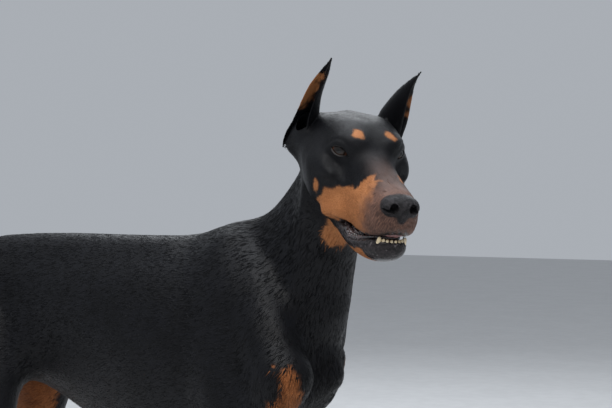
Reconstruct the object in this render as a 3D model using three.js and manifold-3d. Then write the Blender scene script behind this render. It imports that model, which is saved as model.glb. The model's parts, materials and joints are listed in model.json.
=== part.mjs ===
import * as THREE from 'three';
import { mergeVertices } from 'three/addons/utils/BufferGeometryUtils.js';
import Module from 'manifold-3d';

// Doberman pinscher, standing, life size, millimetres.
// x runs forward along the trunk, y to the dog's left, z up from the ground.
// The head and the jaw are shaped in their own frame: x along the muzzle, y left, z up,
// origin between the eyes.

// Driving dimensions
const gap = 0.3;
const shortestEdge = 0.02;
const cell = {
  torso: 36, neck: 30, shoulder: 28, thigh: 28, forearm: 16, shank: 16.5, paw: 12.5,
  tail: 14, head: 12.4, jaw: 10.4, nose: 9, ear: 13,
};
const headTurn = 37;
const headPitch = 22.5;
const headRoll = 2.5;
const betweenEyes = [494.7, -126.3, 785];
const legLine = 84;
const pasternCut = { front: 46, hind: 48 };
const kneeCut = 334;
const eyeRadius = 12.9;
const eyeCentre = [-7.5, 30.5, 0];
const eyeLook = [0.77, 0.62, 0.1];
const earRootAt = [-84, 54, -4];
const earTipAt = [-26, 56, 98];
const earOpening = [0.72, 0.62, -0.35];
const earThickness = 4;
const lipRadius = 2.8;
const lidRadius = 1.5;
const lidThickness = 2.6;

// Stance of each leg: joints in side view as [x, z]
const stance = {
  front_right: { side: -1, shoulder: [337, 514], elbow: [262, 374], wrist: [296, 166], paw: 312 },
  front_left: { side: 1, shoulder: [270, 516], elbow: [192, 374], wrist: [208, 166], paw: 224 },
  hind_right: { side: -1, hip: [-266, 556], knee: [-214, 366], hock: [-404, 192], paw: -366 },
  hind_left: { side: 1, hip: [-280, 556], knee: [-292, 364], hock: [-478, 194], paw: -440 },
};

// Colours and surface of the parts
const coat = { color: 0x16171b, roughness: 0.42, metalness: 0 };
const tan = { color: 0xa0592c, roughness: 0.6, metalness: 0 };
const leather = { color: 0x24262b, roughness: 0.5, metalness: 0 };
const flesh = { color: 0x8a4a4c, roughness: 0.35, metalness: 0 };
const iris = { color: 0x2a150b, roughness: 0.05, metalness: 0 };

const wasm = await Module();
wasm.setup();

// Small vector helpers
const rad = Math.PI / 180;
const mix = (a, b, t) => a + (b - a) * t;
const clamp = (v, lo, hi) => Math.min(hi, Math.max(lo, v));
const vec = (a) => new THREE.Vector3(a[0], a[1], a[2]);

// Head frame in the trunk's frame
const yaw = -headTurn * rad;
const forward = vec([
  Math.cos(headPitch * rad) * Math.cos(yaw),
  Math.cos(headPitch * rad) * Math.sin(yaw),
  -Math.sin(headPitch * rad),
]);
const levelLeft = vec([-Math.sin(yaw), Math.cos(yaw), 0]);
const levelUp = new THREE.Vector3().crossVectors(forward, levelLeft);
const left = levelLeft.clone().multiplyScalar(Math.cos(headRoll * rad));
left.addScaledVector(levelUp, -Math.sin(headRoll * rad));
const up = new THREE.Vector3().crossVectors(forward, left);
const headMatrix = new THREE.Matrix4().makeBasis(forward, left, up).setPosition(vec(betweenEyes));
const headInverse = headMatrix.clone().invert();

// A point given in the head's frame, in the trunk's frame
function fromHead(x, y, z) {
  return vec([x, y, z]).applyMatrix4(headMatrix).toArray();
}

// Coordinates in the head's frame of a point in the trunk's frame
const inv = headInverse.elements;
function toHead(x, y, z) {
  return [
    inv[0] * x + inv[4] * y + inv[8] * z + inv[12],
    inv[1] * x + inv[5] * y + inv[9] * z + inv[13],
    inv[2] * x + inv[6] * y + inv[10] * z + inv[14],
  ];
}

// Fields: each returns about the distance to a surface, negative inside
function blend(a, b, k) {
  const h = Math.max(k - Math.abs(a - b), 0) / k;
  return Math.min(a, b) - (h * h * k) / 4;
}

function carveField(a, b, k) {
  return -blend(-a, b, k);
}

// An ellipsoid with its first radius along a given direction
function mass(at, size, along = [1, 0, 0], upward = [0, 0, 1]) {
  const a = vec(along).normalize();
  const c = vec(upward).addScaledVector(a, -vec(upward).dot(a)).normalize();
  const b = new THREE.Vector3().crossVectors(c, a);
  const [rx, ry, rz] = size;
  const small = Math.min(rx, ry, rz);
  return (x, y, z) => {
    const px = x - at[0];
    const py = y - at[1];
    const pz = z - at[2];
    const u = (px * a.x + py * a.y + pz * a.z) / rx;
    const v = (px * b.x + py * b.y + pz * b.z) / ry;
    const w = (px * c.x + py * c.y + pz * c.z) / rz;
    const g = Math.sqrt(u * u + v * v + w * w);
    if (g < 1e-4) {
      return -small;
    }
    const s = Math.sqrt((u * u) / (rx * rx) + (v * v) / (ry * ry) + (w * w) / (rz * rz));
    return (g * (g - 1)) / s;
  };
}

// A round limb that tapers from one end to the other
function limb(a, b, ra, rb) {
  const d = [b[0] - a[0], b[1] - a[1], b[2] - a[2]];
  const l2 = d[0] * d[0] + d[1] * d[1] + d[2] * d[2];
  return (x, y, z) => {
    const px = x - a[0];
    const py = y - a[1];
    const pz = z - a[2];
    const t = clamp((px * d[0] + py * d[1] + pz * d[2]) / l2, 0, 1);
    return Math.hypot(px - d[0] * t, py - d[1] * t, pz - d[2] * t) - mix(ra, rb, t);
  };
}

// A curve through stations of any number of values, one array of values per sample
function smoothStations(stations, samples) {
  const out = [];
  const n = stations.length - 1;
  for (let i = 0; i <= samples; i += 1) {
    const s = (i / samples) * n;
    const k = Math.min(Math.floor(s), n - 1);
    const t = s - k;
    const p0 = stations[Math.max(k - 1, 0)];
    const p1 = stations[k];
    const p2 = stations[k + 1];
    const p3 = stations[Math.min(k + 2, n)];
    const value = p1.map((v, j) => {
      const m1 = (p2[j] - p0[j]) / 2;
      const m2 = (p3[j] - p1[j]) / 2;
      const t2 = t * t;
      const t3 = t2 * t;
      const ends = (2 * t3 - 3 * t2 + 1) * v + (3 * t2 - 2 * t3) * p2[j];
      return ends + (t3 - 2 * t2 + t) * m1 + (t3 - t2) * m2;
    });
    out.push(value);
  }
  return out;
}

// A tube with an elliptical section: stations are x, y, z, half width, half depth.
// The width lies along the given side direction, which may turn from one end to the other.
function tube(stations, sideA = [0, 1, 0], sideB = sideA, samples = 18) {
  const rings = smoothStations(stations, samples);
  const segments = [];
  for (let i = 0; i < samples; i += 1) {
    const p = rings[i];
    const q = rings[i + 1];
    const t = vec(q).sub(vec(p));
    const length = t.length();
    t.divideScalar(length);
    const side = vec(sideA).lerp(vec(sideB), (i + 0.5) / samples);
    side.addScaledVector(t, -side.dot(t)).normalize();
    const deep = new THREE.Vector3().crossVectors(t, side);
    segments.push({ p, q, t, side, deep, length });
  }
  return (x, y, z) => {
    let best = Infinity;
    let nearest = segments[0];
    let along = 0;
    for (const s of segments) {
      const px = x - s.p[0];
      const py = y - s.p[1];
      const pz = z - s.p[2];
      const raw = px * s.t.x + py * s.t.y + pz * s.t.z;
      const a = clamp(raw, 0, s.length);
      const ex = px - s.t.x * a;
      const ey = py - s.t.y * a;
      const ez = pz - s.t.z * a;
      const d = ex * ex + ey * ey + ez * ez;
      if (d < best) {
        best = d;
        nearest = s;
        along = a / s.length;
      }
    }
    const s = nearest;
    const w = mix(s.p[3], s.q[3], along);
    const h = mix(s.p[4], s.q[4], along);
    const ex = x - mix(s.p[0], s.q[0], along);
    const ey = y - mix(s.p[1], s.q[1], along);
    const ez = z - mix(s.p[2], s.q[2], along);
    const u = ex * s.side.x + ey * s.side.y + ez * s.side.z;
    const v = ex * s.deep.x + ey * s.deep.y + ez * s.deep.z;
    const l = ex * s.t.x + ey * s.t.y + ez * s.t.z;
    const r = Math.hypot(u, v, l);
    const m = Math.min(w, h);
    const g = Math.hypot(u / w, v / h, l / m);
    return r < 1e-4 ? -m : r * (1 - 1 / g);
  };
}

// A body along x with an egg-shaped section: stations are x, top, bottom, height of the widest line,
// half width, and how square the upper and the lower half are
function barrel(stations, round = 30) {
  const rings = smoothStations(stations, 60);
  const first = rings[0][0];
  const last = rings[rings.length - 1][0];
  const lo = Math.min(first, last);
  const hi = Math.max(first, last);
  return (x, y, z) => {
    const at = clamp(x, lo, hi);
    let k = 0;
    while (k < rings.length - 2 && rings[k + 1][0] < at) {
      k += 1;
    }
    const t = clamp((at - rings[k][0]) / (rings[k + 1][0] - rings[k][0]), 0, 1);
    const next = rings[k + 1];
    const [, top, bottom, middle, wide, squareUp, squareDown] = rings[k].map((v, j) => mix(v, next[j], t));
    const v = z - middle;
    const h = v > 0 ? top - middle : middle - bottom;
    const n = v > 0 ? squareUp : squareDown;
    const g = (Math.abs(y / wide) ** n + Math.abs(v / h) ** n) ** (1 / n);
    const r = Math.hypot(y, v);
    const d = g < 1e-3 ? -Math.min(wide, h) : r * (1 - 1 / g);
    return -blend(-d, -(Math.abs(x - (lo + hi) / 2) - (hi - lo) / 2), round);
  };
}

// A form made of many: each entry is a field and how softly it joins the ones before it
function gather(list) {
  return (x, y, z) => {
    let d = 1e3;
    for (const [field, k] of list) {
      d = blend(d, field(x, y, z), k);
    }
    return d;
  };
}

// Trunk
const trunk = barrel([
  [-352, 640, 570, 606, 46, 2, 2],
  [-320, 660, 520, 602, 66, 2, 2],
  [-270, 674, 486, 596, 78, 2, 2],
  [-210, 681, 462, 588, 80, 2, 1.9],
  [-150, 683, 447, 578, 80, 2, 1.9],
  [-90, 683, 424, 568, 86, 2, 1.85],
  [0, 681, 385, 552, 99, 2, 1.8],
  [90, 681, 358, 540, 107, 1.95, 1.75],
  [170, 684, 347, 538, 104, 1.85, 1.7],
  [235, 685, 360, 540, 92, 1.8, 1.75],
  [288, 662, 404, 540, 71, 1.9, 1.9],
  [330, 606, 462, 532, 46, 2, 2],
], 40);

function trunkForms(side) {
  return [
    [mass([-288, side * 42, 606], [72, 44, 54]), 40],
    [mass([-352, side * 42, 588], [26, 22, 30], [1, 0, 0.4]), 30],
    [limb([-240, side * 24, 652], [110, side * 26, 657], 19, 19), 26],
    [mass([298, side * 30, 490], [29, 27, 40], [0.7, 0, 0.7]), 30],
    [limb([-196, side * 66, 486], [-150, side * 62, 520], 14, 20), 50],
  ];
}

// Neck, from the withers and breast to behind the skull
const headSide = left.toArray();
const neckStations = [
  [252, 0, 592, 80, 118],
  [290, -2, 624, 65, 99],
  [315, -6, 657, 54, 80],
  [341, -15, 690, 46, 67],
  [368, -30, 720, 43, 60],
  [394, -47, 748, 44, 56],
  fromHead(-82, 0, -46).concat([45, 48]),
];
const neckCore = tube(neckStations, [0, 1, 0], headSide, 24);
const neckRings = smoothStations(neckStations, 24);

// A point in the neck: u from breast to skull, a to its left and b to its front as shares of its radii
function inNeck(u, a, b) {
  const k = Math.round(u * 24);
  const p = neckRings[k];
  const t = vec(neckRings[Math.min(k + 1, 24)]).sub(vec(neckRings[Math.max(k - 1, 0)])).normalize();
  const side = vec([0, 1, 0]).lerp(left, u);
  side.addScaledVector(t, -side.dot(t)).normalize();
  const front = new THREE.Vector3().crossVectors(side, t);
  return vec(p).addScaledVector(side, a * p[3]).addScaledVector(front, b * p[4]).toArray();
}

// The long muscles of the neck, each from low to high: u, a, b as above, then its radius
const toBreast = [
  [0.1, 0.6, 0.62, 27], [0.34, 0.62, 0.48, 18], [0.62, 0.66, 0.3, 16], [0.96, 0.7, 0.05, 17],
];
const windpipe = [
  [0.16, 0.2, 0.78, 18], [0.4, 0.22, 0.74, 16], [0.66, 0.26, 0.7, 17], [0.94, 0.36, 0.64, 18],
];
const nape = [
  [0.08, 0.18, -0.8, 20], [0.36, 0.22, -0.76, 15], [0.66, 0.24, -0.72, 14], [0.94, 0.24, -0.7, 14],
];

function neckForms(side) {
  const strand = (list) => tube(list.map(([u, a, b, r]) => inNeck(u, side * a, b).concat([r, r])));
  return [
    [strand(toBreast), 18],
    [strand(windpipe), 18],
    [strand(nape), 24],
  ];
}

// Front leg: shoulder blade, upper arm, the three-headed muscle behind it, forearm and pastern
function frontLeg(leg) {
  const s = leg.side;
  const y = s * legLine;
  const [sx, sz] = leg.shoulder;
  const [ex, ez] = leg.elbow;
  const [wx, wz] = leg.wrist;
  const bx = mix(sx, ex, 0.5);
  const back = (sx - ex) * 0.5;
  return [
    [tube([
      [sx - 132, s * 42, 662, 15, 34],
      [sx - 88, s * 62, 614, 22, 46],
      [sx - 40, s * 77, 562, 29, 46],
      [sx - 3, s * 84, sz - 2, 32, 38],
    ]), 22],
    [mass([sx + 2, s * 86, sz - 4], [34, 28, 40], [-0.4, 0, 1]), 20],
    [tube([
      [sx - 4, s * 85, sz - 6, 30, 38],
      [bx, s * 87, mix(sz, ez, 0.5), 30, 40],
      [ex, y, ez, 26, 30],
    ]), 22],
    [tube([
      [ex - 34 - back * 0.2, s * 68, 590, 20, 34],
      [ex - 22, s * 83, 510, 27, 48],
      [ex - 14, s * 86, 440, 26, 42],
      [ex - 20, y, 388, 19, 24],
    ]), 22],
    [mass([ex - 31, y, ez + 8], [13, 12, 20], [0, 0, 1], [1, 0, 0]), 12],
    [tube([
      [ex - 2, y, ez + 4, 25, 31],
      [ex + (wx - ex) * 0.18 + 4, y, 336, 25, 31],
      [ex + (wx - ex) * 0.45 + 2, y - s, 276, 19.5, 23.5],
      [ex + (wx - ex) * 0.75, y - s * 2, 218, 15.5, 17.5],
      [wx, y - s * 3, wz, 18.5, 18],
      [wx + 3, y - s * 3, 124, 15.5, 15],
      [wx + 8, y - s * 2, 82, 16, 15],
      [wx + 15, y - s, 44, 20, 17],
    ], [0, 1, 0], [0, 1, 0], 26), 14],
    [limb([ex - 22, y, 352], [ex - 10, y, 280], 17, 12), 16],
    [mass([wx - 15, y - s * 3, 150], [9, 10, 14], [0, 0, 1], [1, 0, 0]), 9],
  ];
}

// Hind leg: thigh, stifle, lower thigh with its tendon, hock and rear pastern
function hindLeg(leg) {
  const s = leg.side;
  const [hx, hz] = leg.hip;
  const [kx, kz] = leg.knee;
  const [ox, oz] = leg.hock;
  const y = s * (legLine + 4);
  return [
    [tube([
      [hx - 10, s * 62, hz + 44, 32, 60],
      [hx, s * 76, hz - 20, 40, 84],
      [mix(hx, kx, 0.55), s * 87, mix(hz, kz, 0.5), 41, 76],
      [kx - 12, s * 90, kz + 18, 33, 50],
    ]), 34],
    [tube([
      [-352, s * 52, 590, 24, 34],
      [hx - 66, s * 74, 520, 32, 48],
      [kx - 96, s * 88, 430, 30, 50],
      [kx - 94, s * 90, 352, 24, 36],
    ]), 34],
    [tube([
      [hx + 48, s * 66, hz - 6, 26, 34],
      [kx + 6, s * 84, kz + 92, 31, 38],
      [kx + 8, s * 90, kz + 22, 26, 30],
    ]), 26],
    [mass([kx + 12, s * 91, kz - 4], [22, 23, 32], [-0.25, 0, 1], [1, 0, 0]), 18],
    [tube([
      [kx + 26, s * 70, kz + 116, 12, 22],
      [kx + 20, s * 80, kz + 62, 14, 20],
    ]), 34],
    [tube([
      [kx - 6, s * 90, kz - 10, 30, 42],
      [kx - 48, s * 90, kz - 56, 28, 42],
      [mix(kx, ox, 0.55), s * 89, mix(kz, oz, 0.52), 21, 31],
      [mix(kx, ox, 0.82), y, mix(kz, oz, 0.8), 15, 22],
      [ox, y, oz, 17, 22],
    ]), 20],
    [limb([kx - 104, s * 89, kz - 56], [ox - 22, y, oz + 26], 20, 8.5), 18],
    [mass([ox - 22, y, oz + 14], [22, 11, 12], [0.12, 0, 1], [1, 0, 0]), 10],
    [mass([ox - 4, y, oz - 6], [26, 18, 20], [0.1, 0, 1], [1, 0, 0]), 14],
    [tube([
      [ox - 6, y, oz - 12, 16, 20],
      [ox, y, 138, 13.5, 16],
      [ox + 6, y, 92, 14, 15],
      [ox + 14, y, 50, 18.5, 16],
    ]), 14],
  ];
}

// Paw: four arched toes, two long ones in the middle, on one large pad
function paw(leg, hind) {
  const s = leg.side;
  const y = s * (hind ? legLine + 4 : legLine - 1);
  const x = leg.paw;
  const size = hind ? 0.93 : 1;
  const list = [
    [mass([x - 8, y, 22], [34 * size, 27 * size, 21]), 12],
    [mass([x - 14, y, 8], [22 * size, 21 * size, 11]), 9],
    [limb([x - 26, y, 46], [x - 6, y, 34], 19 * size, 20 * size), 14],
  ];
  for (const toe of [-1.5, -0.5, 0.5, 1.5]) {
    const inner = Math.abs(toe) < 1;
    const reach = inner ? 0 : -11;
    const spread = toe * 15.5 * size;
    list.push([limb(
      [x + 2 + reach, y + spread * 0.82, 30],
      [x + (22 + reach) * size, y + spread * 0.98, 25],
      12.5 * size, 11.5 * size,
    ), 5]);
    list.push([limb(
      [x + (22 + reach) * size, y + spread * 0.98, 24],
      [x + (33 + reach) * size, y + spread, 10.5],
      11.5 * size, 9 * size,
    ), 4]);
  }
  return list;
}

const field = {
  trunk: gather([
    [trunk, 1],
    [mass([192, 0, 661], [66, 24, 26]), 30],
    [mass([324, 0, 510], [34, 34, 46], [0.3, 0, 1], [1, 0, 0]), 30],
    ...trunkForms(1),
    ...trunkForms(-1),
  ]),
  tail: tube([
    [-330, 0, 642, 25, 22],
    [-368, 0, 656, 19, 19],
    [-404, 0, 672, 14.5, 15],
    [-440, 0, 692, 11, 11.5],
  ]),
  neck: gather([[neckCore, 1], ...neckForms(1), ...neckForms(-1)]),
  frontRight: gather(frontLeg(stance.front_right)),
  frontLeft: gather(frontLeg(stance.front_left)),
  hindRight: gather(hindLeg(stance.hind_right)),
  hindLeft: gather(hindLeg(stance.hind_left)),
};
const pawField = {
  front_right: gather(paw(stance.front_right, false)),
  front_left: gather(paw(stance.front_left, false)),
  hind_right: gather(paw(stance.hind_right, true)),
  hind_left: gather(paw(stance.hind_left, true)),
};

// Muzzle and lower jaw, in the head's frame
const muzzle = barrel([
  [-14, 14, -78, -40, 44, 2, 2.2],
  [16, 10.5, -79, -42, 36.5, 2, 2.4],
  [34, 7, -78, -42, 31.5, 2.1, 2.8],
  [60, 2, -75, -42, 29.5, 2.2, 3],
  [86, -2, -70, -41, 29.5, 2.2, 3],
  [106, -4, -63, -37, 28, 2.2, 2.7],
  [120, -8, -54, -33, 23, 2.1, 2.4],
  [130, -13, -46, -30, 15, 2, 2],
], 14);
const jaw = barrel([
  [-20, -60, -100, -76, 38, 2, 2],
  [14, -66, -103, -80, 33, 2, 2.1],
  [45, -70, -104, -84, 30, 2, 2.2],
  [75, -66, -101, -82, 27.5, 2.1, 2.2],
  [98, -61, -94, -76, 24.5, 2.2, 2.2],
  [112, -58, -86, -71, 19.5, 2.2, 2.2],
  [122, -58, -78, -68, 12, 2, 2],
], 10);

const lookDirection = (side) => [eyeLook[0], side * eyeLook[1], eyeLook[2]];

function headForms(s) {
  return [
    [mass([-22, s * 15, 1], [38, 28, 26], [1, 0, 0.12]), 22],
    [mass([-4, s * 24, 11], [18, 12, 9.5], [0.9, -s * 0.3, 0.25]), 14],
    [limb([8, s * 43, -22], [-50, s * 49, -22], 8, 12), 16],
    [mass([-42, s * 38, -42], [40, 20, 34], [1, 0, -0.25]), 24],
    [mass([-62, s * 33, -5], [40, 17, 24], [1, -s * 0.12, 0.1]), 22],
    [mass([eyeCentre[0], s * eyeCentre[1], eyeCentre[2]], [15.4, 14.8, 14.8], lookDirection(s)), 8],
    [limb([24, s * 32, -64], [4, s * 37, -72], 6, 10), 20],
    [mass([-88, s * 46, -14], [24, 17, 24], [0.4, s * 0.2, 0.8]), 18],
  ];
}

const skull = gather([
  [mass([-56, 0, -15], [62, 49, 42.5]), 1],
  [mass([-92, 0, -12], [30, 30, 22]), 20],
  [muzzle, 20],
  ...headForms(1),
  ...headForms(-1),
]);
const orbits = [1, -1].map((s) => mass([17, s * 43, -12], [18, 7, 10], [0.8, -s * 0.3, -0.5]));
const headOnly = (x, y, z) => {
  const closed = blend(skull(x, y, z), jaw(x, y, z), 9);
  return carveField(carveField(closed, orbits[0](x, y, z), 14), orbits[1](x, y, z), 14);
};

// The whole dog without its paws, ears and nose
function body(x, y, z) {
  let d = field.trunk(x, y, z);
  d = blend(d, field.tail(x, y, z), 16);
  d = blend(d, field.neck(x, y, z), 34);
  d = blend(d, field.hindRight(x, y, z), 26);
  d = blend(d, field.hindLeft(x, y, z), 26);
  d = blend(d, field.frontRight(x, y, z), 24);
  d = blend(d, field.frontLeft(x, y, z), 24);
  const [hx, hy, hz] = toHead(x, y, z);
  return blend(d, headOnly(hx, hy, hz), 20);
}

const inHeadFrame = (x, y, z) => body(...fromHead(x, y, z));

// Skin of a field on a grid of its own: a point for each loop that the surface makes through a cell,
// and two triangles for each grid edge that it crosses
const corner = [0, 1, 2, 3, 4, 5, 6, 7].map((c) => [c & 1, (c >> 1) & 1, (c >> 2) & 1]);
const cellEdges = [];
for (let a = 0; a < 8; a += 1) {
  for (const bit of [1, 2, 4]) {
    if (!(a & bit)) {
      cellEdges.push([a, a | bit]);
    }
  }
}
const cellFaces = [];
for (const bit of [1, 2, 4]) {
  for (const on of [0, bit]) {
    cellFaces.push([0, 1, 2, 3, 4, 5, 6, 7].filter((c) => (c & bit) === on));
  }
}

// Which of a cell's crossed edges belong to one loop
function loopsOf(v) {
  const crossed = cellEdges.map(([a, b]) => v[a] < 0 !== v[b] < 0);
  const group = cellEdges.map((e, i) => i);
  const join = (i, j) => {
    const [from, to] = [group[i], group[j]];
    group.forEach((g, k) => {
      if (g === from) {
        group[k] = to;
      }
    });
  };
  for (const face of cellFaces) {
    const here = cellEdges.map((e, i) => i)
      .filter((i) => crossed[i] && face.includes(cellEdges[i][0]) && face.includes(cellEdges[i][1]));
    if (here.length === 2) {
      join(here[0], here[1]);
    } else if (here.length === 4) {
      for (const c of face.filter((q) => v[q] < 0)) {
        const [i, j] = here.filter((e) => cellEdges[e].includes(c));
        join(i, j);
      }
    }
  }
  return group.map((g, i) => (crossed[i] ? g : -1));
}

function skinOf(f, size, lo, hi, shift = 0) {
  const h = size * (1 + shift * 0.013);
  const n = [0, 1, 2].map((i) => Math.ceil((hi[i] - lo[i]) / h) + 1);
  const index = (i, j, k) => (i * n[1] + j) * n[2] + k;
  const values = new Float64Array(n[0] * n[1] * n[2]);
  for (let i = 0; i < n[0]; i += 1) {
    for (let j = 0; j < n[1]; j += 1) {
      for (let k = 0; k < n[2]; k += 1) {
        const rim = i === 0 || j === 0 || k === 0 || i === n[0] - 1 || j === n[1] - 1 || k === n[2] - 1;
        const d = f(lo[0] + i * h, lo[1] + j * h, lo[2] + k * h);
        values[index(i, j, k)] = rim ? Math.max(d, h * 0.3) : d || 1e-6;
      }
    }
  }
  const points = [];
  const owner = new Int32Array(values.length * 12).fill(-1);
  for (let i = 0; i < n[0] - 1; i += 1) {
    for (let j = 0; j < n[1] - 1; j += 1) {
      for (let k = 0; k < n[2] - 1; k += 1) {
        const v = corner.map(([a, b, c]) => values[index(i + a, j + b, k + c)]);
        if (v.every((d) => d < 0) || v.every((d) => d >= 0)) {
          continue;
        }
        const loops = loopsOf(v);
        for (const loop of new Set(loops.filter((g) => g >= 0))) {
          const sum = [i, j, k];
          const members = loops.map((g, e) => (g === loop ? e : -1)).filter((e) => e >= 0);
          for (const e of members) {
            const [a, b] = cellEdges[e];
            const t = v[a] / (v[a] - v[b]);
            for (let m = 0; m < 3; m += 1) {
              sum[m] += mix(corner[a][m], corner[b][m], t) / members.length;
            }
            owner[index(i, j, k) * 12 + e] = points.length;
          }
          points.push(sum.map((c, m) => lo[m] + c * h));
        }
      }
    }
  }
  const faces = [];
  const step = [index(1, 0, 0), index(0, 1, 0), index(0, 0, 1)];
  for (let i = 0; i < n[0] - 1; i += 1) {
    for (let j = 0; j < n[1] - 1; j += 1) {
      for (let k = 0; k < n[2] - 1; k += 1) {
        const at = index(i, j, k);
        const here = [i, j, k];
        for (let m = 0; m < 3; m += 1) {
          const inside = values[at] < 0;
          const [p, q] = [(m + 1) % 3, (m + 2) % 3];
          if (here[p] && here[q] && inside !== values[at + step[m]] < 0) {
            const ring = [[1, 1], [0, 1], [0, 0], [1, 0]].map(([a, b]) => {
              const from = (a << p) | (b << q);
              const e = cellEdges.findIndex((c) => c[0] === from && c[1] === (from | (1 << m)));
              return owner[(at - a * step[p] - b * step[q]) * 12 + e];
            });
            const [a, b, c, d] = inside ? ring : ring.reverse();
            const flat = distance(points[a], points[c]) <= distance(points[b], points[d]);
            faces.push(...(flat ? [[a, b, c], [a, c, d]] : [[a, b, d], [b, c, d]]));
          }
        }
      }
    }
  }
  settle(points, faces, f, h, lo, hi);
  const geometry = new THREE.BufferGeometry();
  geometry.setAttribute('position', new THREE.Float32BufferAttribute(points.flat(), 3));
  geometry.setIndex(faces.flat());
  return geometry;
}

// The same as a solid, on a slightly different grid where two loops touch
function fleshOf(f, size, lo, hi) {
  for (let shift = 0; shift < 12; shift += 1) {
    try {
      return solid(skinOf(f, size, lo, hi, shift));
    } catch (error) {
      if (shift === 11) {
        throw error;
      }
    }
  }
  return null;
}

function distance(a, b) {
  return Math.hypot(a[0] - b[0], a[1] - b[1], a[2] - b[2]);
}

// Evens the points out along the surface and moves them onto it
function settle(points, faces, f, h, lo, hi) {
  const near = points.map(() => new Set());
  for (const [a, b, c] of faces) {
    near[a].add(b).add(c);
    near[b].add(a).add(c);
    near[c].add(a).add(b);
  }
  const free = points.map((p) => p.every((c, m) => c > lo[m] + h && c < hi[m] - h));
  for (let pass = 0; pass < 6; pass += 1) {
    const target = points.map((p, i) => {
      const q = [0, 0, 0];
      for (const o of near[i]) {
        q[0] += points[o][0] / near[i].size;
        q[1] += points[o][1] / near[i].size;
        q[2] += points[o][2] / near[i].size;
      }
      return p.map((c, m) => mix(c, q[m], pass < 4 ? 0.45 : 0));
    });
    points.forEach((p, i) => {
      if (free[i]) {
        const t = target[i];
        const e = 0.6;
        const d = f(t[0], t[1], t[2]);
        const g = [
          f(t[0] + e, t[1], t[2]) - f(t[0] - e, t[1], t[2]),
          f(t[0], t[1] + e, t[2]) - f(t[0], t[1] - e, t[2]),
          f(t[0], t[1], t[2] + e) - f(t[0], t[1], t[2] - e),
        ].map((c) => c / (2 * e));
        const g2 = Math.max(g[0] * g[0] + g[1] * g[1] + g[2] * g[2], 0.25);
        const move = clamp(d / g2, -h * 0.35, h * 0.35);
        p[0] = t[0] - g[0] * move;
        p[1] = t[1] - g[1] * move;
        p[2] = t[2] - g[2] * move;
      }
    });
  }
}

// Solids: a closed geometry becomes one, is cut or joined, and gives a geometry back
function solid(geometry, matrix) {
  let g = geometry.clone();
  if (matrix) {
    g.applyMatrix4(matrix);
  }
  g.deleteAttribute('normal');
  g.deleteAttribute('uv');
  g = mergeVertices(g, 1e-3);
  return new wasm.Manifold(new wasm.Mesh({
    numProp: 3,
    vertProperties: new Float32Array(g.attributes.position.array),
    triVerts: new Uint32Array(g.index.array),
  }));
}

function largest(shape) {
  const parts = shape.simplify(shortestEdge).decompose();
  return parts.reduce((a, b) => (b.volume() > a.volume() ? b : a));
}

function geometryOf(shape) {
  const mesh = largest(shape).getMesh();
  const g = new THREE.BufferGeometry();
  g.setAttribute('position', new THREE.BufferAttribute(new Float32Array(mesh.vertProperties), 3));
  g.setIndex(new THREE.BufferAttribute(new Uint32Array(mesh.triVerts), 1));
  g.computeVertexNormals();
  return g;
}

// A large block whose face lies on a plane and which fills the side its normal points to
function halfSpace(point, normal, shift = 0) {
  const z = vec(normal).normalize();
  const other = Math.abs(z.y) < 0.9 ? vec([0, 1, 0]) : vec([1, 0, 0]);
  const x = new THREE.Vector3().crossVectors(other, z).normalize();
  const y = new THREE.Vector3().crossVectors(z, x);
  const m = new THREE.Matrix4().makeBasis(x, y, z).setPosition(vec(point).addScaledVector(z, 1000 + shift));
  return solid(new THREE.BoxGeometry(3000, 3000, 2000), m);
}

// A slab seen from the side as the outline around some circles [x, z, radius], from y inner to y outer
function outlineSlab(circles, inner, outer, grow = 0) {
  const dots = [];
  for (const [cx, cz, r] of circles) {
    for (let i = 0; i < 32; i += 1) {
      const a = (i / 32) * 2 * Math.PI;
      dots.push([cx + (r + grow) * Math.cos(a), cz + (r + grow) * Math.sin(a)]);
    }
  }
  dots.sort((a, b) => a[0] - b[0] || a[1] - b[1]);
  const turn = (o, a, b) => (a[0] - o[0]) * (b[1] - o[1]) - (a[1] - o[1]) * (b[0] - o[0]);
  const half = (list) => {
    const out = [];
    for (const p of list) {
      while (out.length > 1 && turn(out[out.length - 2], out[out.length - 1], p) <= 0) {
        out.pop();
      }
      out.push(p);
    }
    return out.slice(0, -1);
  };
  const hull = half(dots).concat(half([...dots].reverse()));
  const shape = new THREE.Shape(hull.map(([x, z]) => new THREE.Vector2(x, z)));
  const depth = Math.abs(outer - inner);
  const g = new THREE.ExtrudeGeometry(shape, { depth, bevelEnabled: false, steps: 1 });
  g.rotateX(Math.PI / 2);
  g.translate(0, Math.max(inner, outer), 0);
  return solid(g);
}

// The planes and outlines that part the body
const neckBase = { point: [292, 0, 602], normal: [0.78, 0, 0.63] };
const throat = {
  point: fromHead(-124, 0, 26),
  normal: vec([0.85, 0, 0.53]).transformDirection(headMatrix).toArray(),
};
const tailRoot = { point: [-346, 0, 650], normal: [-0.93, 0, 0.36] };

function limbSlab(leg, grow) {
  const s = leg.side;
  const circles = leg.elbow ? [
    [leg.shoulder[0] - 56, 586, 62],
    [leg.shoulder[0] - 4, leg.shoulder[1] - 4, 52],
    [leg.elbow[0] - 10, leg.elbow[1], 56],
    [leg.elbow[0] - 30, 500, 60],
  ] : [
    [-282, 570, 86],
    [-322, 500, 84],
    [leg.knee[0] - 28, leg.knee[1] + 4, 78],
    [leg.knee[0] - 110, leg.knee[1] - 4, 60],
    [-214, 520, 60],
  ];
  const inner = leg.elbow ? 40 : 34;
  return outlineSlab(circles, s * (inner - grow), s * 260, grow);
}

function tailCut(grow) {
  const z = vec(tailRoot.normal).normalize();
  const g = new THREE.CylinderGeometry(34 + grow, 34 + grow, 160, 24).rotateX(Math.PI / 2);
  const m = new THREE.Matrix4().lookAt(z, vec([0, 0, 0]), vec([0, 1, 0]));
  m.setPosition(vec(tailRoot.point).addScaledVector(z, 80 - grow));
  return solid(g, m);
}

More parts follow.
